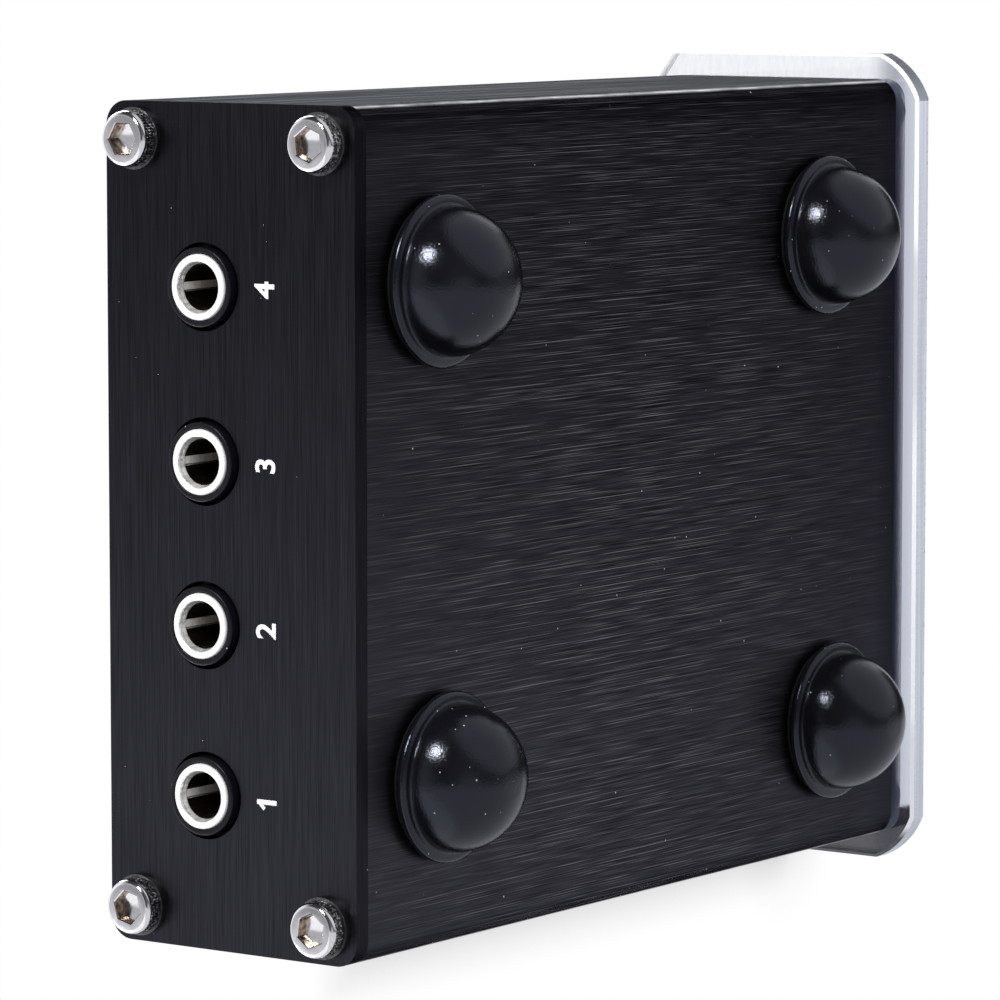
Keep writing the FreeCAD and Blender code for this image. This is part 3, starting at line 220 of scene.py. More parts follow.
def brushed_black(name, along, dark, light, line, rough, contrast, scored):
    """Black anodised aluminium brushed along one axis, with painted light paling its right side and
    painted shade darkening its left.
    """
    finish, tree, shader = plain_finish(name, dark, rough, metallic=1.0)
    shader.inputs["Specular Tint"].default_value = (0.25, 0.25, 0.26, 1.0)

    def stroke_place(length, width, aside=0.0):
        """Coordinates with one scale along the strokes and another across them."""
        return place_node(tree, tuple(length if axis == along else width for axis in "xyz"),
                          tuple(0.0 if axis == along else aside for axis in "xyz"))

    axes = axes_node(tree)
    # Painted light and shade: the colour is paler towards +X and darker towards -X
    painted_light_ramp = scaled(tree, axes["X"], 24.0, 0.55, clamp=True)
    from_middle = math_node(tree, "ABSOLUTE", math_node(tree, "SUBTRACT", axes["Y"], 6.0 * mm))
    worn = scaled(tree, from_middle, -25.0, 1.12, clamp=True)
    strokes = add_group(tree, strokes_group, {
        "Place": stroke_place(170.0, 10500.0), "Line Place": stroke_place(4.0, 10500.0),
        "Groove Place": stroke_place(4.0, 9000.0, 0.5), "Break Place": stroke_place(150.0, 7500.0),
        "Contrast": scaled(tree, worn, contrast * 0.6, contrast * 0.4)})
    dust = dust_mask(tree, 560.0, 0.9, 0.032)
    keener = scaled(tree, math_node(tree, "POWER", painted_light_ramp, 3.0), -0.40, 0.95)
    wear = product(tree, worn, keener, scored)
    anodised = mix_color(tree, strokes["Tone"], dark, light)
    grooved = mix_color(tree, product(tree, strokes["Groove"], wear), anodised,
                        (0.004, 0.004, 0.004))
    lined = mix_color(tree, product(tree, strokes["Line"], wear), grooved, line)
    painted_shade_color = mix_color(tree, scaled(tree, painted_light_ramp, -0.38, 0.38), lined, (0.0, 0.0, 0.0))
    feed(shader, "Base Color", mix_color(tree, dust, painted_shade_color, (0.5, 0.5, 0.52)))
    feed(shader, "Roughness", scaled(tree, strokes["Tone"], 0.14, rough - 0.07))
    feed(shader, "Metallic", math_node(tree, "SUBTRACT", 1.0, dust))
    add_bump(shader, strokes["Height"], 0.00001, 0.4)
    return finish


def dress(finish, *names):
    """Give CAD nodes their finish."""
    for name in names:
        mesh = nodes[name].data
        mesh.materials.clear()
        mesh.materials.append(finish)


case_finish = brushed_black("anodised_case", "y", (0.034, 0.034, 0.039), (0.112, 0.110, 0.128),
                            (0.52, 0.51, 0.52), 0.38, 1.8, 0.92)
dress(case_finish, "case_shell")

# A painted highlight runs in a bright line along each rounded long edge, a painted dark reflection
# lies beside the left one, and pale streaks run along both sides
highlight_middle = 33.83 * mm
highlight_half_width = 0.16 * mm
dark_band_start = -30.6 * mm
dark_band_end = 33.2 * mm
side_face = 33.95 * mm
edge_tree = case_finish.node_tree
edge_shader = edge_tree.nodes["Principled BSDF"]
brushed_color = edge_shader.inputs["Base Color"].links[0].from_socket
brushed_metal = edge_shader.inputs["Metallic"].links[0].from_socket
edge_axes = axes_node(edge_tree)
sideways = math_node(edge_tree, "ABSOLUTE", edge_axes["X"])
off_highlight = math_node(edge_tree, "ABSOLUTE",
                    math_node(edge_tree, "SUBTRACT", sideways, highlight_middle))
highlight_gaps = scaled(edge_tree, grain_node(edge_tree, (900.0, 260.0, 900.0), 3.0), 1.6, -0.1,
                  clamp=True)
# Painted highlight: a thin, nearly white line along each rounded edge
painted_highlight = product(edge_tree, ramp(edge_tree, off_highlight, highlight_half_width, -1.0 / highlight_half_width),
                 highlight_gaps)
# Painted dark reflection: a dark band beside the left edge
painted_dark_band = product(edge_tree, ramp(edge_tree, edge_axes["X"], dark_band_start, -420.0),
                     math_node(edge_tree, "LESS_THAN", sideways, dark_band_end), 0.6)
streak_noise = grain_node(edge_tree, (5.0, 30.0, 600.0), 3.0)
side_streaks = product(edge_tree, math_node(edge_tree, "GREATER_THAN", sideways, side_face),
                       scaled(edge_tree, streak_noise, 3.4, -1.2, clamp=True))
feed(edge_shader, "Specular Tint",
     mix_color(edge_tree, side_streaks, (0.10, 0.10, 0.11), (0.40, 0.40, 0.41)))
feed(edge_shader, "Metallic", scaled(edge_tree, painted_highlight, -0.8, brushed_metal, clamp=True))
banded = mix_color(edge_tree, painted_dark_band, brushed_color, (0.008, 0.008, 0.008))
feed(edge_shader, "Base Color", mix_color(edge_tree, painted_highlight, banded, (0.97, 0.97, 0.98)))


# Rear panel. A flat aluminium plate, brushed across and anodised black like the case. It has no
# lettering but plain input numbers, printed in white ink under the jacks.

# Like the case's finish, painted light makes it paler towards its right side and painted shade
# darkens its left
dress(brushed_black("anodised_panel", "x", (0.022, 0.022, 0.025), (0.052, 0.052, 0.062),
                    (0.09, 0.09, 0.10), 0.36, 2.6, 1.0), "rear_panel")


def grained_finish(name, color, rough, metallic, scale, detail, tones, bump=None,
                   contrast=None, gloss=None, specular=0.5):
    """A finish whose grain sets its tone; contrast and gloss are a gain and an offset on it."""
    finish, tree, shader = plain_finish(name, color, rough, metallic, specular)
    grain = grain_node(tree, scale, detail)
    tone = scaled(tree, grain, *contrast, clamp=True) if contrast else grain
    feed(shader, "Base Color", mix_color(tree, tone, *tones))
    if gloss:
        feed(shader, "Roughness", scaled(tree, grain, *gloss))
    if bump:
        add_bump(shader, grain, *bump)
    return finish


white_ink = grained_finish("white_ink", (0.86, 0.86, 0.87), 0.5, 0.0, 5200.0, 3.0,
                           ((0.90, 0.90, 0.91), (0.55, 0.55, 0.57)), (0.00001, 0.4),
                           contrast=(0.25, 0.0))
base_body = "selector_box"
ink_t = 0.03 * mm


def select_only(piece):
    """Select one piece and make it active."""
    bpy.ops.object.select_all(action="DESELECT")
    piece.select_set(True)
    bpy.context.view_layer.objects.active = piece


def block(size, place, turn=(0, 0, 0)):
    """A cube primitive, scaled to a size and set at a place."""
    bpy.ops.object.select_all(action="DESELECT")
    bpy.ops.mesh.primitive_cube_add(size=1, location=place, rotation=turn, scale=size)
    return bpy.context.object


def finish_piece(piece, name, finish, body, stands_for=()):
    """Apply a piece's place to its mesh and hand it over to its body."""
    select_only(piece)
    bpy.ops.object.transform_apply(location=True, rotation=True, scale=True)
    piece.name = name
    piece.data.name = name
    piece.data.materials.clear()
    piece.data.materials.append(finish)
    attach(piece, body)
    if stands_for:
        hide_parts(*stands_for)
    piece.select_set(False)


def print_number(name, text, size, place, faces_rear):
    """A printed number, upright, as thick as its ink; the flag of a 1 is drawn on it."""
    bpy.ops.object.select_all(action="DESELECT")
    bpy.ops.object.text_add(location=place)
    words = bpy.context.object
    words.data.body = text
    words.data.size = size
    words.data.align_x = "CENTER"
    words.data.align_y = "CENTER"
    words.data.extrude = ink_t / 2
    words.data.offset = size * 0.022
    words.rotation_euler = (math.radians(90), 0, math.radians(180) if faces_rear else 0)
    bpy.ops.object.convert(target="MESH")
    words = bpy.context.object
    if text == "1":
        way = -1 if faces_rear else 1
        block((size * 0.11, ink_t * 0.9, size * 0.28),
              Vector(place) + Vector((-way * size * 0.11, 0, size * 0.225)),
              (0, way * math.radians(45), 0))
        words.select_set(True)
        bpy.context.view_layer.objects.active = words
        bpy.ops.object.join()
    finish_piece(words, name, white_ink, base_body)


panel_low, panel_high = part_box("rear_panel")
input_number_size = 2.7 * mm
input_number_z = panel_low.z + 8.8 * mm
for jack in (1, 2, 3, 4):
    tube_low, tube_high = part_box(f"input_jack_{jack}_tube")
    print_number(f"input_number_{jack}", str(jack), input_number_size,
                 ((tube_low.x + tube_high.x) / 2, panel_high.y + ink_t / 2, input_number_z), True)


# Screws and washers. Stainless socket head screws with a knurled side and a turned rim, on thin
# plain washers, four at each end. One is modelled and the others are copies.

def pick(piece, mode, wanted):
    """In edit mode, select only the vertices, edges or faces that pass a test."""
    bpy.ops.mesh.select_mode(type=mode)
    bpy.ops.mesh.select_all(action="DESELECT")
    mesh = bmesh.from_edit_mesh(piece.data)
    for item in {"VERT": mesh.verts, "EDGE": mesh.edges, "FACE": mesh.faces}[mode]:
        if wanted(item):
            item.select_set(True)
    mesh.select_flush_mode()
    bmesh.update_edit_mesh(piece.data)


def turned_piece(sides, profile, place=(0, 0), closed=False):
    """A piece turned about Z: a ring is drawn out along a profile of (radius, height) points."""
    bpy.ops.object.select_all(action="DESELECT")
    radius, height = profile[0]
    bpy.ops.mesh.primitive_circle_add(vertices=sides, radius=radius, location=(*place, height))
    piece = bpy.context.object
    bpy.ops.object.mode_set(mode="EDIT")
    bpy.ops.mesh.select_mode(type="EDGE")
    bpy.ops.mesh.select_all(action="SELECT")
    if not closed:
        bpy.ops.mesh.edge_face_add()
        bpy.ops.mesh.select_mode(type="FACE")
    for next_radius, next_height in profile[1:]:
        bpy.ops.mesh.extrude_region_move(
            TRANSFORM_OT_translate={"value": (0, 0, next_height - height)})
        factor = next_radius / radius
        bpy.ops.transform.resize(value=(factor, factor, 1))
        radius, height = next_radius, next_height
    if closed:
        bpy.ops.mesh.select_all(action="SELECT")
        bpy.ops.mesh.remove_doubles(threshold=1e-6)
    bpy.ops.mesh.select_all(action="SELECT")
    bpy.ops.mesh.normals_make_consistent(inside=False)
    bpy.ops.object.mode_set(mode="OBJECT")
    bpy.ops.object.transform_apply(location=True, rotation=False, scale=False)
    return piece


def press_grooves(piece, sides, low, high, outside, factors):
    """Press every group of columns of a turned side inwards, by one factor for each column."""
    column_turn = 2 * math.pi / sides
    bpy.ops.object.mode_set(mode="EDIT")
    for column, factor in enumerate(factors):
        pick(piece, "VERT", lambda vert: low < vert.co.z < high and vert.co.xy.length > outside
             and round(math.atan2(vert.co.y, vert.co.x) / column_turn) % len(factors) == column)
        bpy.ops.transform.resize(value=(factor, factor, 1))
    bpy.ops.object.mode_set(mode="OBJECT")


def cut_away(piece, tool):
    """Take a tool's volume out of a piece and delete the tool."""
    modifier = piece.modifiers.new("cut", "BOOLEAN")
    modifier.operation = "DIFFERENCE"
    modifier.solver = "EXACT"
    modifier.object = tool
    select_only(piece)
    bpy.ops.object.modifier_apply(modifier=modifier.name)
    bpy.data.objects.remove(tool)


def smooth(piece, angle):
    """Smooth shading up to an angle."""
    select_only(piece)
    bpy.ops.object.shade_smooth_by_angle(angle=math.radians(angle))


def another(model):
    """A copy of a piece, with its own mesh."""
    piece = model.copy()
    piece.data = model.data.copy()
    bpy.context.collection.objects.link(piece)
    return piece


head_r = 2.27 * mm
head_t = 1.45 * mm
knurled_t = 0.96 * mm
knurls = 56
screw_model = turned_piece(knurls * 4, [
    (1.25 * mm, -8.9 * mm), (1.25 * mm, -0.05 * mm), (1.30 * mm, 0.0), (2.15 * mm, 0.0),
    (2.25 * mm, 0.06 * mm), (head_r, 0.14 * mm), (head_r, 0.92 * mm), (2.22 * mm, 0.98 * mm),
    (2.22 * mm, 1.04 * mm), (2.19 * mm, 1.16 * mm), (2.12 * mm, 1.28 * mm), (2.01 * mm, 1.38 * mm),
    (1.86 * mm, head_t)])
press_grooves(screw_model, knurls * 4, 0.1 * mm, knurled_t, 2.0 * mm, (0.966, 0.985, 1.0, 0.985))

# The hex socket, its drilled bottom and its lead-in
socket_turn = (0, 0, math.radians(14))
socket_r = 1.2 * mm / math.cos(math.radians(30))
bpy.ops.mesh.primitive_cylinder_add(vertices=6, radius=socket_r, depth=1.2 * mm,
                                    location=(0, 0, head_t - 0.4 * mm), rotation=socket_turn)
cut_away(screw_model, bpy.context.object)
bpy.ops.mesh.primitive_cone_add(vertices=48, radius1=0.0, radius2=1.16 * mm, depth=0.5 * mm,
                                location=(0, 0, head_t - 1.24 * mm))
cut_away(screw_model, bpy.context.object)
bpy.ops.mesh.primitive_cone_add(vertices=6, radius1=socket_r - 0.06 * mm,
                                radius2=socket_r + 0.18 * mm, depth=0.24 * mm,
                                location=(0, 0, head_t - 0.02 * mm), rotation=socket_turn)
cut_away(screw_model, bpy.context.object)
smooth(screw_model, 28)

stainless, stainless_tree, stainless_shader = plain_finish("stainless_steel", (0.66, 0.65, 0.64),
                                                           0.24, 1.0)
lathe_marks = grain_node(stainless_tree, 4200.0, 3.0)
stains = grain_node(stainless_tree, 900.0, 2.0)
feed(stainless_shader, "Base Color",
     mix_color(stainless_tree, stains, (0.62, 0.61, 0.61), (0.44, 0.43, 0.43)))
feed(stainless_shader, "Roughness", scaled(stainless_tree, lathe_marks, 0.16, 0.22))
add_bump(stainless_shader, lathe_marks, 0.000012, 0.5)
knurl_steel = grained_finish("dark_knurl", (0.20, 0.19, 0.18), 0.4, 1.0, 4600.0, 2.0,
                             ((0.07, 0.067, 0.07), (0.95, 0.93, 0.92)), (0.00002, 0.5),
                             contrast=(5.0, -2.4))
polished_rim = grained_finish("polished_rim", (0.92, 0.91, 0.90), 0.1, 1.0, 3000.0, 2.0,
                              ((0.98, 0.97, 0.97), (0.86, 0.84, 0.82)), gloss=(0.14, 0.03))
# Painted shade and reflection: the socket's walls are dark and mottled brown
painted_socket_shade = grained_finish("painted_socket_shade", (0.30, 0.22, 0.15), 0.3, 1.0, 2400.0, 3.0,
                             ((0.08, 0.05, 0.03), (0.62, 0.50, 0.38)), (0.00002, 0.6),
                             contrast=(3.0, -1.0))
dark_washer = grained_finish("dark_washer", (0.1, 0.1, 0.1), 0.36, 1.0, 2600.0, 3.0,
                             ((0.02, 0.02, 0.022), (0.24, 0.235, 0.24)), (0.00001, 0.4))

for end, faces_rear in (("rear", True), ("front", False)):
    low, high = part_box(f"{end}_screws")
    under_head = high.y - head_t if faces_rear else low.y + head_t
    for number, (x, z) in enumerate([(x, z) for x in (low.x + head_r, high.x - head_r)
                                     for z in (low.z + head_r, high.z - head_r)], 1):
        screw = another(screw_model)
        screw.matrix_world = (Matrix.Translation((x, under_head, z))
                              @ Matrix.Rotation(math.radians(-90 if faces_rear else 90), 4, "X")
                              @ Matrix.Rotation(math.radians(23 * number), 4, "Z"))
        finish_piece(screw, f"{end}_screw_{number}", stainless, base_body,
                     [f"{end}_screws"])
        for finish in (knurl_steel, polished_rim, painted_socket_shade):
            screw.data.materials.append(finish)
        for face in screw.data.polygons:
            off_axis = math.hypot(face.center.x - x, face.center.z - z)
            head_side = abs(face.center.y - under_head)
            if head_side >= head_t - 0.01 * mm:
                continue
            if off_axis > 1.8 * mm:
                face.material_index = 1 if head_side < knurled_t else 2
            elif off_axis < 1.6 * mm:
                face.material_index = 3 if abs(face.normal.y) < 0.35 else 2
    dress(dark_washer, f"{end}_washers")
bpy.data.objects.remove(screw_model)


# Feet. Moulded black silicone domes with a flange, each held to the case by an adhesive disc.
# Their skin is glossy with a faint orange peel, and dust clings to it.

foot_rubber, rubber_tree, rubber_shader = plain_finish("foot_rubber", (0.004, 0.004, 0.006), 0.2)
rubber_shader.inputs["Specular Tint"].default_value = (0.80, 0.84, 1.0, 1.0)
smear = grain_node(rubber_tree, 900.0, 4.0, 0.7)
rubber_black = mix_color(rubber_tree, smear, (0.003, 0.003, 0.004), (0.006, 0.006, 0.009))
feed(rubber_shader, "Base Color", mix_color(rubber_tree, dust_mask(rubber_tree, 1050.0, 0.9, 0.06),
                                            rubber_black, (0.40, 0.40, 0.42)))
feed(rubber_shader, "Roughness", scaled(rubber_tree, smear, 0.10, 0.10))
add_bump(rubber_shader, grain_node(rubber_tree, 5200.0, 2.0, 0.6), 0.00004, 0.5)

dome_r = 6.05 * mm
tip_r = 1.1 * mm
flange_t = 1.06 * mm
dome_rings = 26
for foot in ("foot_rear_left", "foot_rear_right", "foot_front_left", "foot_front_right"):
    low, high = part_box(foot)
    foot_profile = [(radius * mm, high.z - drop * mm) for radius, drop in (
        (6.20, 0.0), (6.47, 0.06), (6.67, 0.17), (6.83, 0.32), (6.93, 0.49), (6.96, 0.64),
        (6.93, 0.79), (6.85, 0.92), (6.71, 1.01), (6.53, 1.06), (6.32, 1.06), (6.17, 1.08),
        (6.08, 1.14))]
    first_angle = math.radians(2.0)
    last_angle = math.acos(tip_r / dome_r)
    dome_h = (high.z - low.z - flange_t) / math.sin(last_angle)
    for ring in range(dome_rings + 1):
        turn = first_angle + (last_angle - first_angle) * ring / dome_rings
        foot_profile.append((dome_r * math.cos(turn),
                             high.z - flange_t - dome_h * math.sin(turn)))
    dome = turned_piece(128, foot_profile, ((low.x + high.x) / 2, (low.y + high.y) / 2))
    smooth(dome, 40)
    finish_piece(dome, f"{foot}_dome", foot_rubber, base_body, [foot])

dress(grained_finish("adhesive_foam", (0.01, 0.01, 0.01), 0.8, 0.0, 3000.0, 2.0,
                     ((0.004, 0.004, 0.004), (0.02, 0.02, 0.02)), (0.00003, 0.6), specular=0.1),
      "foot_adhesive_discs")


# Jacks. A black moulded body whose round nose fills the panel's hole, with a rolled and plated
# sleeve tube inside it. The tube's flared mouth is bright, and its seam shows at the top.

plastic_black = (0.004, 0.0035, 0.006)
jack_plastic, plastic_tree, plastic_shader = plain_finish("jack_plastic", plastic_black, 0.36,
                                                          specular=0.22)
mould_grain = grain_node(plastic_tree, 4000.0, 2.0)
plastic_dust = dust_mask(plastic_tree, 900.0, 0.8, 0.04)
feed(plastic_shader, "Base Color",
     mix_color(plastic_tree, plastic_dust, plastic_black, (0.45, 0.45, 0.46)))
feed(plastic_shader, "Roughness", scaled(plastic_tree, mould_grain, 0.14, 0.30))
add_bump(plastic_shader, mould_grain, 0.00002, 0.35)

# The flared wall keeps the marks of its tool; further down, the bore is painted dark as painted
# shade
bright_plate = grained_finish("bright_plating", (0.96, 0.96, 0.95), 0.2, 0.3, 2600.0, 3.0,
                              ((1.0, 1.0, 0.99), (0.90, 0.90, 0.89)), (0.00001, 0.4),
                              gloss=(0.22, 0.14))
flare_plate = grained_finish("brushed_plating", (0.8, 0.8, 0.78), 0.28, 0.6,
                             (3600.0, 600.0, 900.0), 3.0,
                             ((0.50, 0.50, 0.48), (1.0, 1.0, 0.98)), (0.00001, 0.5),
                             contrast=(2.4, -0.7))
painted_bore_shade = grained_finish("bore_painted_shade", (0.05, 0.04, 0.03), 0.3, 1.0,
                            (2600.0, 500.0, 2600.0), 2.0,
                            ((0.04, 0.03, 0.022), (0.34, 0.27, 0.20)), (0.00001, 0.4))
contact_metal = grained_finish("contact_metal", (0.80, 0.78, 0.72), 0.36, 0.15,
                               (1200.0, 5200.0, 1200.0), 3.0,
                               ((1.0, 0.99, 0.96), (0.50, 0.47, 0.42)), (0.00001, 0.5))


def merged_copy(node):
    """A CAD node's mesh as a new piece in edit mode, its triangles merged into whole faces."""
    piece = another(nodes[node])
    piece.parent = None
    for key in list(piece.keys()):
        if key.startswith("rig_"):
            del piece[key]
    select_only(piece)
    bpy.ops.object.mode_set(mode="EDIT")
    bpy.ops.mesh.select_all(action="SELECT")
    bpy.ops.mesh.remove_doubles(threshold=2e-6)
    bpy.ops.mesh.dissolve_limited(angle_limit=math.radians(1))
    return piece


def bevel_edges(piece, wanted, offset, segments, clamp_overlap=True):
    """Bevel the edges of the active piece that pass a test, and leave edit mode."""
    bpy.ops.object.mode_set(mode="EDIT")
    pick(piece, "EDGE", wanted)
    bpy.ops.mesh.bevel(offset=offset, segments=segments, affect="EDGES",
                       clamp_overlap=clamp_overlap)
    bpy.ops.object.mode_set(mode="OBJECT")


tube_r = 2.65 * mm
bore_r = 1.87 * mm
foot_rim = 0.06 * mm


def sleeve_tube(length, lead):
    """The rolled tube along +Z, its mouth at the top, with its seam and one board pin."""
    tube = turned_piece(96, [
        (tube_r, -length + foot_rim), (tube_r, -0.16 * mm), (2.63 * mm, -0.08 * mm),
        (2.58 * mm, -0.025 * mm), (2.50 * mm, 0.0), (2.18 * mm, -0.01 * mm),
        (2.10 * mm, -0.04 * mm), (2.05 * mm, -0.10 * mm), (2.02 * mm, -0.20 * mm),
        (1.99 * mm, -0.34 * mm), (1.92 * mm, -0.46 * mm), (bore_r, -0.62 * mm),
        (bore_r, -length + foot_rim), (1.93 * mm, -length), (2.59 * mm, -length),
        (tube_r, -length + foot_rim)], closed=True)
    seam_h = 1.2 * mm
    cut_away(tube, block((0.2 * mm, 0.4 * mm, seam_h), (0, 2.0 * mm, -0.65 * mm)))
    cut_away(tube, block((0.8 * mm, 1.4 * mm, length), (0, 2.3 * mm, -0.65 * mm - length / 2)))
    bpy.ops.mesh.primitive_cylinder_add(vertices=24, radius=0.4 * mm, depth=3.75 * mm,
                                        location=(0, -4.225 * mm, -lead))
    pin = bpy.context.object
    pin.rotation_euler = (math.radians(90), 0, 0)
    select_only(tube)
    pin.select_set(True)
    bpy.ops.object.join()
    smooth(tube, 30)
    return tube


rear_tube = sleeve_tube(5.0 * mm, 3.7 * mm)
front_tube = sleeve_tube(5.9 * mm, 4.6 * mm)
for jack, model, side in (*((f"input_jack_{number}", rear_tube, 1) for number in (1, 2, 3, 4)),
                          ("output_jack", front_tube, -1)):
    low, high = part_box(f"{jack}_tube")
    mouth = high.y if side > 0 else low.y
    axis_x = (low.x + high.x) / 2
    axis_z = high.z - tube_r
    tube = another(model)
    turn = Matrix(((-side, 0, 0), (0, 0, side), (0, 1, 0))).to_4x4()
    tube.matrix_world = Matrix.Translation((axis_x, mouth, axis_z)) @ turn
    finish_piece(tube, f"{jack}_sleeve", bright_plate, base_body, [f"{jack}_tube"])
    tube.data.materials.append(flare_plate)
    tube.data.materials.append(painted_bore_shade)
    for face in tube.data.polygons:
        depth = abs(face.center.y - mouth)
        off_axis = math.hypot(face.center.x - axis_x, face.center.z - axis_z)
        if off_axis < 2.1 * mm and depth > 0.03 * mm:
            face.material_index = 1 if depth < 0.6 * mm else 2
    nose_y = mouth - side * 0.15 * mm
    nose = merged_copy(f"{jack}_housing")
    bevel_edges(nose, lambda edge: all(abs(vert.co.y - nose_y) < 0.01 * mm for vert in edge.verts),
                0.14 * mm, 4)
    smooth(nose, 30)
    finish_piece(nose, f"{jack}_body", jack_plastic, base_body,
                 [f"{jack}_housing"])
    dress(contact_metal, f"{jack}_contacts")
bpy.data.objects.remove(rear_tube)
bpy.data.objects.remove(front_tube)


# Front plate and mask. A clear acrylic plate stands out all round the case, laser cut, with a fine
# edge bevel and shallow round corners. A black film with the case's outline covers its front.

plate_low, plate_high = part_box("front_plate")
mask_low, mask_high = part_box("front_mask")

clear_acrylic, clear_tree, clear_shader = plain_finish("clear_acrylic", (0.79, 0.81, 0.88), 0.03)
clear_shader.inputs["Transmission Weight"].default_value = 1.0
clear_shader.inputs["IOR"].default_value = 1.49
scratches = add_group(clear_tree, strokes_group, {
    "Contrast": 2.0, "Place": place_node(clear_tree, (900.0, 240.0, 2400.0))})
clear_z = axes_node(clear_tree)["Z"]
upper_tone = mix_color(clear_tree, scratches["Tone"], (0.86, 0.87, 0.93), (0.95, 0.96, 0.98))
# Painted shade: below the case the plate's colour is painted darker
painted_shade_tone = mix_color(clear_tree, ramp(clear_tree, clear_z, 6.0 * mm, 900.0),
                       (0.62, 0.65, 0.75), (0.42, 0.44, 0.50))
feed(clear_shader, "Base Color", mix_color(clear_tree, ramp(clear_tree, clear_z, 8.0 * mm, 500.0),
                                           painted_shade_tone, upper_tone))
feed(clear_shader, "Roughness", scaled(clear_tree, scratches["Tone"], 0.07, 0.01))
add_bump(clear_shader, scratches["Height"], 0.000004, 0.4)

# The cut edge isn't polished: saw marks run through the plate's thickness and scatter the light,
# the film's side of the edge is chipped, and its lower left corner is darkened by painted shade
corner_x = -32.1 * mm
cut_acrylic, cut_tree, cut_shader = plain_finish("cut_acrylic", (0.60, 0.64, 0.76), 0.22)
saw_marks = add_group(cut_tree, strokes_group, {
    "Contrast": 2.0, "Place": place_node(cut_tree, (2600.0, 300.0, 2600.0))})
edge_bands = scaled(cut_tree, grain_node(cut_tree, (60.0, 2600.0, 60.0), 1.0), 1.8, -0.52)
edge_color = mix_color(cut_tree, scaled(cut_tree, saw_marks["Tone"], 0.08, edge_bands),
                       (0.62, 0.65, 0.74), (0.88, 0.90, 0.97))
cut_axes = axes_node(cut_tree)
chip_mask = product(cut_tree, ramp(cut_tree, cut_axes["Y"], plate_low.y + 0.62 * mm, -1800.0),
                    ramp(cut_tree, grain_node(cut_tree, 2100.0, 3.0, 0.7), 0.52, 9.0))
corner_top = scaled(cut_tree, cut_axes["Y"], 1.1, 12.2 * mm - 1.1 * plate_high.y)
painted_corner_shade = product(
    cut_tree, math_node(cut_tree, "LESS_THAN", cut_axes["X"], corner_x - 0.02 * mm),
    scaled(cut_tree, cut_axes["X"], -130.0, 0.55 + 130.0 * corner_x, clamp=True),
    math_node(cut_tree, "LESS_THAN", cut_axes["Z"], corner_top))
edge_color = mix_color(cut_tree, painted_corner_shade, edge_color, (0.03, 0.035, 0.05))
feed(cut_shader, "Base Color", mix_color(cut_tree, chip_mask, edge_color, (0.16, 0.14, 0.20)))
feed(cut_shader, "Roughness", scaled(cut_tree, saw_marks["Tone"], 0.3, 0.12))
add_bump(cut_shader, saw_marks["Height"], 0.00001, 0.5)
cut_inside = cut_tree.nodes.new("ShaderNodeNewGeometry").outputs["Backfacing"]
feed(cut_shader, "Alpha", scaled(cut_tree, cut_inside, -0.75, 1.0))

# The bevel along the edge is bright, but painted dark on the right as painted shade from the table
# it lay on
shaded_bevel_x = 33.2 * mm
broken_edge, bevel_tree, bevel_shader = plain_finish("broken_edge", (0.90, 0.91, 0.94), 0.3)
scraped = grain_node(bevel_tree, 1500.0, 2.0)
feed(bevel_shader, "Base Color", mix_color(
    bevel_tree, ramp(bevel_tree, axes_node(bevel_tree)["X"], shaded_bevel_x, 900.0),
    mix_color(bevel_tree, scraped, (0.95, 0.96, 0.98), (1.0, 1.0, 1.0)),
    mix_color(bevel_tree, scraped, (0.03, 0.03, 0.04), (0.12, 0.12, 0.14))))
add_bump(bevel_shader, scraped, 0.00002, 0.5)


side_margin = 4.2 * mm
screw_x = 31 * mm
screws_middle_z = 19.5 * mm
screw_off_middle = 9.3 * mm


def on_margin(point, depth):
    """Whether a point is near the plate's left or right side, or close to its top or bottom."""
    return (abs(point.x) > plate_high.x - side_margin
            or min(point.z - plate_low.z, plate_high.z - point.z) < depth)


def off_screws(point):
    """How far a point of the plate is from the axis of the nearest screw."""
    return math.hypot(abs(point.x) - screw_x, abs(point.z - screws_middle_z) - screw_off_middle)


plate = merged_copy("front_plate")
bevel_edges(plate, lambda edge: edge.is_manifold and edge.calc_face_angle() > math.radians(60)
            and all(on_margin(vert.co, 2.2 * mm) and off_screws(vert.co) > 2.6 * mm
                    for vert in edge.verts), 0.28 * mm, 1, clamp_overlap=False)
film_gap = 0.02 * mm
for vert in plate.data.vertices:
    if vert.co.y < plate_low.y + 0.001 * mm:
        vert.co.y += film_gap
smooth(plate, 25)
finish_piece(plate, "clear_front_plate", clear_acrylic, base_body,
             ["front_plate"])
plate.data.materials.append(cut_acrylic)
plate.data.materials.append(broken_edge)
for face in plate.data.polygons:
    flatness = abs(face.normal.y)
    if (flatness < 0.9 and on_margin(face.center, 0.5 * mm)
            and off_screws(face.center) > 2.9 * mm):
        face.material_index = 1 if flatness < 0.3 else 2

# The film is black in front and painted pale behind, as painted light; it thins out along its
# outline
film_black = (0.012, 0.012, 0.014)
film_fade = 0.8 * mm
film_finish, film_tree, film_shader = plain_finish("black_film", film_black, 0.3)
film_axes = axes_node(film_tree)
film_edge = 0.0
for axis, low, high in (("X", mask_low.x, mask_high.x), ("Z", mask_low.z, mask_high.z)):
    off_middle = math_node(film_tree, "ABSOLUTE", math_node(
        film_tree, "SUBTRACT", film_axes[axis], (low + high) / 2))
    film_edge = math_node(film_tree, "MAXIMUM", film_edge, scaled(
        film_tree, off_middle, 1 / film_fade, 1 - (high - low) / 2 / film_fade), clamp=True)
film_inside = film_tree.nodes.new("ShaderNodeNewGeometry").outputs["Backfacing"]
painted_back_light = math_node(film_tree, "MAXIMUM", film_inside, ramp(
    film_tree, film_axes["Y"], mask_high.y - 0.1 * mm, 10000.0))
film_tone = mix_color(film_tree, painted_back_light, film_black, (0.84, 0.85, 0.95))
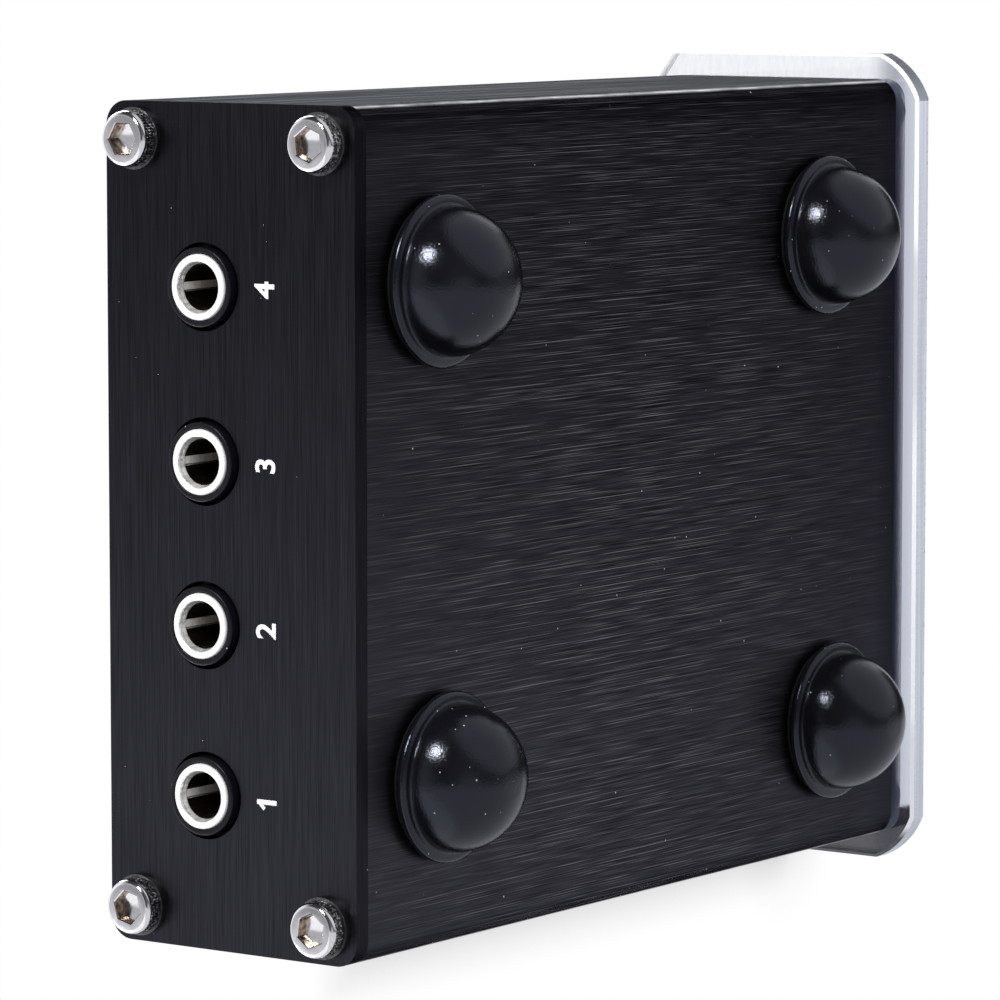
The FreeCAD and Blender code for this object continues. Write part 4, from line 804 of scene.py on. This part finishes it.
film_grain = grain_node(film_tree, 3200.0, 3.0)
feed(film_shader, "Base Color", mix_color(film_tree, dust_mask(film_tree, 420.0, 0.9, 0.032),
                                          film_tone, (0.40, 0.40, 0.42)))
feed(film_shader, "Roughness", scaled(film_tree, film_grain, 0.16, 0.20))
add_bump(film_shader, film_grain, 0.00001, 0.4)
feed(film_shader, "Alpha", scaled(film_tree, math_node(film_tree, "POWER", film_edge, 1.2),
                                  -0.68, 1.0))
dress(film_finish, "front_mask")

# The dial on the mask: a tick and a plain number for each of the four positions
shaft_low, shaft_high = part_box("selector_shaft")
dial_x = (shaft_low.x + shaft_high.x) / 2
dial_z = (shaft_low.z + shaft_high.z) / 2
dial_y = mask_low.y - ink_t / 2
number_ring_r = 10.0 * mm
tick_ring_r = 8.0 * mm
for position in (1, 2, 3, 4):
    turn = math.radians(-75 + 30 * position)
    print_number(f"dial_number_{position}", str(position), 2.3 * mm,
                 (dial_x + number_ring_r * math.sin(turn), dial_y,
                  dial_z + number_ring_r * math.cos(turn)), False)
    tick = block((0.30 * mm, ink_t, 1.0 * mm), (0, 0, tick_ring_r))
    bpy.ops.object.transform_apply(location=True, rotation=True, scale=True)
    bevel_edges(tick, lambda edge: abs(edge.verts[0].co.y - edge.verts[1].co.y) > ink_t / 2,
                0.14 * mm, 4)
    tick.matrix_world = (Matrix.Translation((dial_x, dial_y, dial_z))
                         @ Matrix.Rotation(turn, 4, "Y"))
    finish_piece(tick, f"dial_tick_{position}", white_ink, base_body)


# Knob. Turned from aluminium, with 48 fine grip flutes, a bevelled front and a white pointer line.
# A grub screw clamps it on the shaft, so all of it turns.

knob_low, knob_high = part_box("selector_knob")
knob_r = 6.75 * mm
flutes = 48
knob = turned_piece(flutes * 6, [
    (5.90 * mm, 2.90 * mm), (5.90 * mm, 0.25 * mm), (5.98 * mm, 0.06 * mm), (6.12 * mm, 0.0),
    (6.46 * mm, 0.0), (6.58 * mm, 0.06 * mm), (6.69 * mm, 0.20 * mm), (knob_r, 0.38 * mm),
    (knob_r, 0.46 * mm), (knob_r, 0.86 * mm), (knob_r, 7.20 * mm), (knob_r, 7.60 * mm),
    (6.71 * mm, 7.72 * mm), (6.12 * mm, 8.31 * mm), (5.98 * mm, 8.39 * mm), (5.82 * mm, 8.40 * mm),
    (5.50 * mm, 8.40 * mm), (5.42 * mm, 8.37 * mm), (5.35 * mm, 8.30 * mm), (0.30 * mm, 8.30 * mm)])
press_grooves(knob, flutes * 6, 0.6 * mm, 7.4 * mm, 6.0 * mm,
              (0.962, 0.971, 0.991, 1.0, 0.991, 0.971))
bpy.ops.object.select_all(action="DESELECT")
bpy.ops.mesh.primitive_cylinder_add(vertices=64, radius=3.05 * mm, depth=6.9 * mm,
                                    location=(0, 0, 3.45 * mm))
cut_away(knob, bpy.context.object)
knob.matrix_world = (Matrix.Translation((dial_x, knob_high.y, dial_z))
                     @ Matrix.Rotation(math.radians(90), 4, "X"))
bpy.context.view_layer.update()
select_only(knob)
bpy.ops.object.transform_apply(location=True, rotation=True, scale=True)
grub_low, grub_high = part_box("knob_grub_screw")
grub_way = Vector((1, 0, -1)).normalized()
grub_place = Vector((dial_x, (grub_low.y + grub_high.y) / 2, dial_z)) + grub_way * 5.9 * mm
pointer_turn = math.radians(-45)
bpy.ops.mesh.primitive_cylinder_add(vertices=48, radius=1.25 * mm, depth=6 * mm,
                                    location=grub_place, rotation=(0, math.radians(135), 0))
cut_away(knob, bpy.context.object)
cut_away(knob, block((1.04 * mm, 1.0 * mm, 4.6 * mm),
                     Vector((dial_x, knob_low.y, dial_z)) - grub_way * 4.18 * mm,
                     (0, pointer_turn, 0)))
smooth(knob, 30)
knob_finish = grained_finish("anodised_knob", (0.02, 0.02, 0.022), 0.34, 1.0,
                             (60.0, 5200.0, 60.0), 3.0,
                             ((0.012, 0.012, 0.014), (0.062, 0.062, 0.068)), (0.00001, 0.4),
                             gloss=(0.16, 0.26))
finish_piece(knob, "fluted_knob", knob_finish, "selector", ["selector_knob"])

pointer_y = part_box("knob_pointer")[0].y + 0.31 * mm
pointer = block((0.96 * mm, 0.38 * mm, 3.98 * mm), (0, 0, 0))
bpy.ops.object.transform_apply(location=True, rotation=True, scale=True)
bevel_edges(pointer, lambda edge: abs(edge.verts[0].co.y - edge.verts[1].co.y) > 0.3 * mm,
            0.45 * mm, 8)
pointer.matrix_world = (Matrix.Translation(Vector((dial_x, pointer_y, dial_z))
                                           - grub_way * 3.97 * mm)
                        @ Matrix.Rotation(pointer_turn, 4, "Y"))
smooth(pointer, 30)
finish_piece(pointer, "pointer_inlay", white_ink, "selector", ["knob_pointer"])


# Fixings of the selector. The bushing's nut, its toothed washer, the shaft, its clip and the grub
# screw are bright or blackened steel, with turning marks round the shaft.

dress(grained_finish("bright_steel", (0.60, 0.60, 0.60), 0.24, 1.0, (700.0, 5200.0, 700.0), 3.0,
                     ((0.70, 0.70, 0.69), (0.42, 0.42, 0.42)), (0.00001, 0.4),
                     gloss=(0.2, 0.16)),
      "bushing_nut", "lock_washer", "selector_shaft", "switch_frame", "detent_spring",
      "detent_ball", "switch_tie_screws")
dress(grained_finish("black_steel", (0.03, 0.03, 0.035), 0.34, 1.0, 2400.0, 3.0,
                     ((0.020, 0.020, 0.024), (0.085, 0.080, 0.080)), (0.00001, 0.5)),
      "knob_grub_screw", "shaft_clip")


# Switch and boards inside the case. Moulded wafers carry silvery contacts; the boards are glass
# fibre under a green mask, whose weave shows faintly; a black header joins the two boards.

dress(grained_finish("wafer_plastic", (0.20, 0.13, 0.06), 0.45, 0.0, 2200.0, 4.0,
                     ((0.15, 0.09, 0.04), (0.27, 0.18, 0.09)), (0.00002, 0.4)),
      "detent_carrier", "contact_housing", "switch_rotor", "terminal_plate")
dress(contact_metal, "rotor_wiper", "switch_terminals", "header_pins")
dress(jack_plastic, "header_strip")

board_green, board_tree, board_shader = plain_finish("green_board", (0.01, 0.09, 0.03), 0.35)
board_axes = axes_node(board_tree, (2000.0, 2000.0, 2000.0))
weave = product(board_tree, math_node(board_tree, "SINE", board_axes["X"]),
                math_node(board_tree, "SINE", board_axes["Y"]))
feed(board_shader, "Base Color", mix_color(board_tree, scaled(board_tree, weave, 0.25, 0.5),
                                           (0.006, 0.065, 0.022), (0.018, 0.12, 0.045)))
add_bump(board_shader, weave, 0.00001, 0.4)
dress(board_green, "main_board", "switch_board")


# Camera. Fitted to the photograph: behind the object and below it, with its right side down.

camera_data = bpy.data.cameras.new("photo_camera")
camera = bpy.data.objects.new("photo_camera", camera_data)
bpy.context.scene.collection.objects.link(camera)
side_way = Vector((0.000234, -0.580632, -0.814166))
up_way = Vector((-0.994495, -0.085444, 0.060649))
back_way = Vector((-0.104780, 0.809670, -0.577456))
camera_place = (-50.01 * mm, panel_high.y + 354.83 * mm, -259.89 * mm)
camera.matrix_world = (Matrix.Translation(camera_place)
                       @ Matrix((side_way, up_way, back_way)).transposed().to_4x4())
camera_data.lens = 205.44
camera_data.sensor_width = 36
camera_data.clip_start = 0.01
camera_data.clip_end = 10
bpy.context.scene.camera = camera


# Studio. A pale floor under the feet, seen only from above; two cards for the white table on
# which the object lay for the photograph, seen only from below; a white background; soft lamps.

def seen_only(tree, shown, shader_socket):
    """Show a surface to some rays and let all others through."""
    clear = tree.nodes.new("ShaderNodeBsdfTransparent")
    choice = tree.nodes.new("ShaderNodeMixShader")
    tree.links.new(shown, choice.inputs["Fac"])
    tree.links.new(clear.outputs["BSDF"], choice.inputs[1])
    tree.links.new(shader_socket, choice.inputs[2])
    tree.links.new(choice.outputs["Shader"], tree.nodes["Material Output"].inputs["Surface"])


def from_front(tree, *rays):
    """A mask for some kinds of rays that meet the front of a surface."""
    path = tree.nodes.new("ShaderNodeLightPath")
    side = tree.nodes.new("ShaderNodeNewGeometry")
    shown = path.outputs[rays[0]]
    for ray in rays[1:]:
        shown = math_node(tree, "MAXIMUM", shown, path.outputs[ray])
    return product(tree, shown, math_node(tree, "SUBTRACT", 1.0, side.outputs["Backfacing"]))


bpy.ops.object.select_all(action="DESELECT")
bpy.ops.mesh.primitive_plane_add(size=4, location=(0, 0, 0))
floor = bpy.context.object
floor.name = "floor"
floor_paint, floor_tree, floor_shader = plain_finish("floor_paint", (0.86, 0.86, 0.87), 0.9,
                                                     specular=0.1)
seen_only(floor_tree, from_front(floor_tree, "Is Camera Ray", "Is Transmission Ray"),
          floor_shader.outputs["BSDF"])
floor.data.materials.append(floor_paint)


def shadow_card(name, low_x, high_x, ends_y, z, ray):
    """A staged card that faces down, seen only from below; returns its tree and its light."""
    bpy.ops.mesh.primitive_plane_add(size=1, location=(0, 0, 0))
    card = bpy.context.object
    card.name = name
    corners = [(x, y, z) for low_and_high in (low_x, high_x)
               for x, y in zip(low_and_high, ends_y)]
    for corner, vert in zip(corners, card.data.vertices):
        vert.co = corner
    paint = bpy.data.materials.new(f"{name}_paint")
    paint.use_nodes = True
    tree = paint.node_tree
    tree.nodes.remove(tree.nodes["Principled BSDF"])
    light = tree.nodes.new("ShaderNodeEmission")
    seen_only(tree, from_front(tree, ray), light.outputs["Emission"])
    card.data.materials.append(paint)
    return tree, light


# Two cards stand in for the white table at the object's right side. The camera sees the first one,
# with the soft shadow beside the case, which fades out towards the rear.
table_tree, table_light = shadow_card(
    "table_shade", (34.1 * mm, 34.1 * mm), (60 * mm, 60 * mm),
    (plate_low.y - 15 * mm, panel_high.y + 30 * mm), 19.0 * mm, "Is Camera Ray")
nearness = table_tree.nodes.new("ShaderNodeAmbientOcclusion")
nearness.inputs["Distance"].default_value = 7.5 * mm
nearness.samples = 16
spot = table_tree.nodes.new("ShaderNodeSeparateXYZ")
table_tree.links.new(table_tree.nodes.new("ShaderNodeNewGeometry").outputs["Position"],
                     spot.inputs["Vector"])
unshaded = ramp(table_tree, spot.outputs["Y"], panel_high.y - 38 * mm, 1 / (28 * mm))
table_tree.links.new(math_node(table_tree, "MAXIMUM", nearness.outputs["AO"], unshaded),
                     table_light.inputs["Strength"])

# Only the clear plate shows the second one, the dark shadow in front of it
_, plate_light = shadow_card(
    "plate_shade", (44.4 * mm, 41.2 * mm), (64 * mm, 64 * mm),
    (plate_low.y - 75 * mm, plate_low.y - 32 * mm), 46 * mm, "Is Transmission Ray")
plate_light.inputs["Strength"].default_value = 0.05
plate_light.inputs["Color"].default_value = (0.92, 0.88, 1.0, 1.0)

# White all round for the camera and through the clear plate; gloss sees a white backdrop in front
# of the object, soft boxes behind and above it, and a dark room elsewhere
world = bpy.data.worlds.new("studio")
bpy.context.scene.world = world
world.use_nodes = True
sky_tree = world.node_tree
sky = sky_tree.nodes["Background"]
sky_way = sky_tree.nodes.new("ShaderNodeTexCoord").outputs["Generated"]
sky_path = sky_tree.nodes.new("ShaderNodeLightPath").outputs


def sky_patch(toward, start, end, strength):
    """A soft-edged bright part of the sky round one direction."""
    facing = sky_tree.nodes.new("ShaderNodeVectorMath")
    facing.operation = "DOT_PRODUCT"
    facing.inputs[1].default_value = Vector(toward).normalized()
    sky_tree.links.new(sky_way, facing.inputs[0])
    fade = sky_tree.nodes.new("ShaderNodeMapRange")
    fade.interpolation_type = "SMOOTHSTEP"
    fade.inputs["From Min"].default_value = start
    fade.inputs["From Max"].default_value = end
    fade.inputs["To Max"].default_value = strength
    sky_tree.links.new(facing.outputs["Value"], fade.inputs["Value"])
    return fade.outputs["Result"]


gloss_light = 0.0
for toward, start, end, strength in (
        ((0.0, -0.75, 0.66), 0.86, 0.97, 1.0), ((0.75, 0.55, 0.37), 0.69, 0.78, 1.0),
        ((0.105, 0.81, 0.577), 0.62, 0.90, 0.42), ((-0.72, -0.45, -0.53), 0.60, 0.80, 0.60),
        ((-0.53, -0.81, 0.20), 0.955, 0.99, 0.9), ((0.0, 0.1, 1.0), 0.6, 0.97, 1.0),
        ((1.0, 0.0, 0.0), 0.02, 0.16, 0.65), ((0.2, 0.45, -0.87), 0.86, 0.98, 0.45),
        ((0.1, 0.1, -1.0), 0.2, 1.0, 0.10)):
    gloss_light = math_node(sky_tree, "MAXIMUM", sky_patch(toward, start, end, strength),
                            gloss_light)
diffuse_light = 0.5
room_light = 0.04
gloss_light = math_node(sky_tree, "ADD", gloss_light, room_light)
not_shown = scaled(sky_tree, sky_path["Is Glossy Ray"],
                   math_node(sky_tree, "SUBTRACT", gloss_light, diffuse_light), diffuse_light)
sky_shown = math_node(sky_tree, "MAXIMUM", sky_path["Is Camera Ray"],
                      sky_path["Is Transmission Ray"])
feed(sky, "Strength", scaled(sky_tree, sky_shown, math_node(sky_tree, "SUBTRACT", 1.0, not_shown),
                             not_shown))
feed(sky, "Color", mix_color(sky_tree, sky_shown, (0.92, 0.94, 1.0), (1.0, 1.0, 1.0)))


def soft_lamp(name, toward, distance, size, power, in_gloss=True):
    """A square area lamp that stands in one direction and faces the object."""
    lamp_data = bpy.data.lights.new(name, "AREA")
    lamp_data.size = size
    lamp_data.energy = power
    lamp = bpy.data.objects.new(name, lamp_data)
    bpy.context.scene.collection.objects.link(lamp)
    lamp.location = Vector((0, 0, 0.02)) + Vector(toward).normalized() * distance
    lamp.rotation_mode = "QUATERNION"
    lamp.rotation_quaternion = (-Vector(toward)).to_track_quat("-Z", "Y")
    lamp.visible_glossy = in_gloss
    lamp.visible_camera = False


soft_lamp("key", (-0.65, 0.76, -0.02), 0.5, 0.11, 1.7)
soft_lamp("camera_fill", back_way * 0.8 + up_way * 0.3 + side_way * 0.3, 0.6, 0.30, 1.5, False)
soft_lamp("above_left", (-0.5, -0.5, 0.75), 1.0, 0.5, 5.0)
soft_lamp("above_right", (0.6, 0.2, 0.6), 0.9, 0.5, 3.5)

bpy.context.scene.view_settings.view_transform = "Standard"
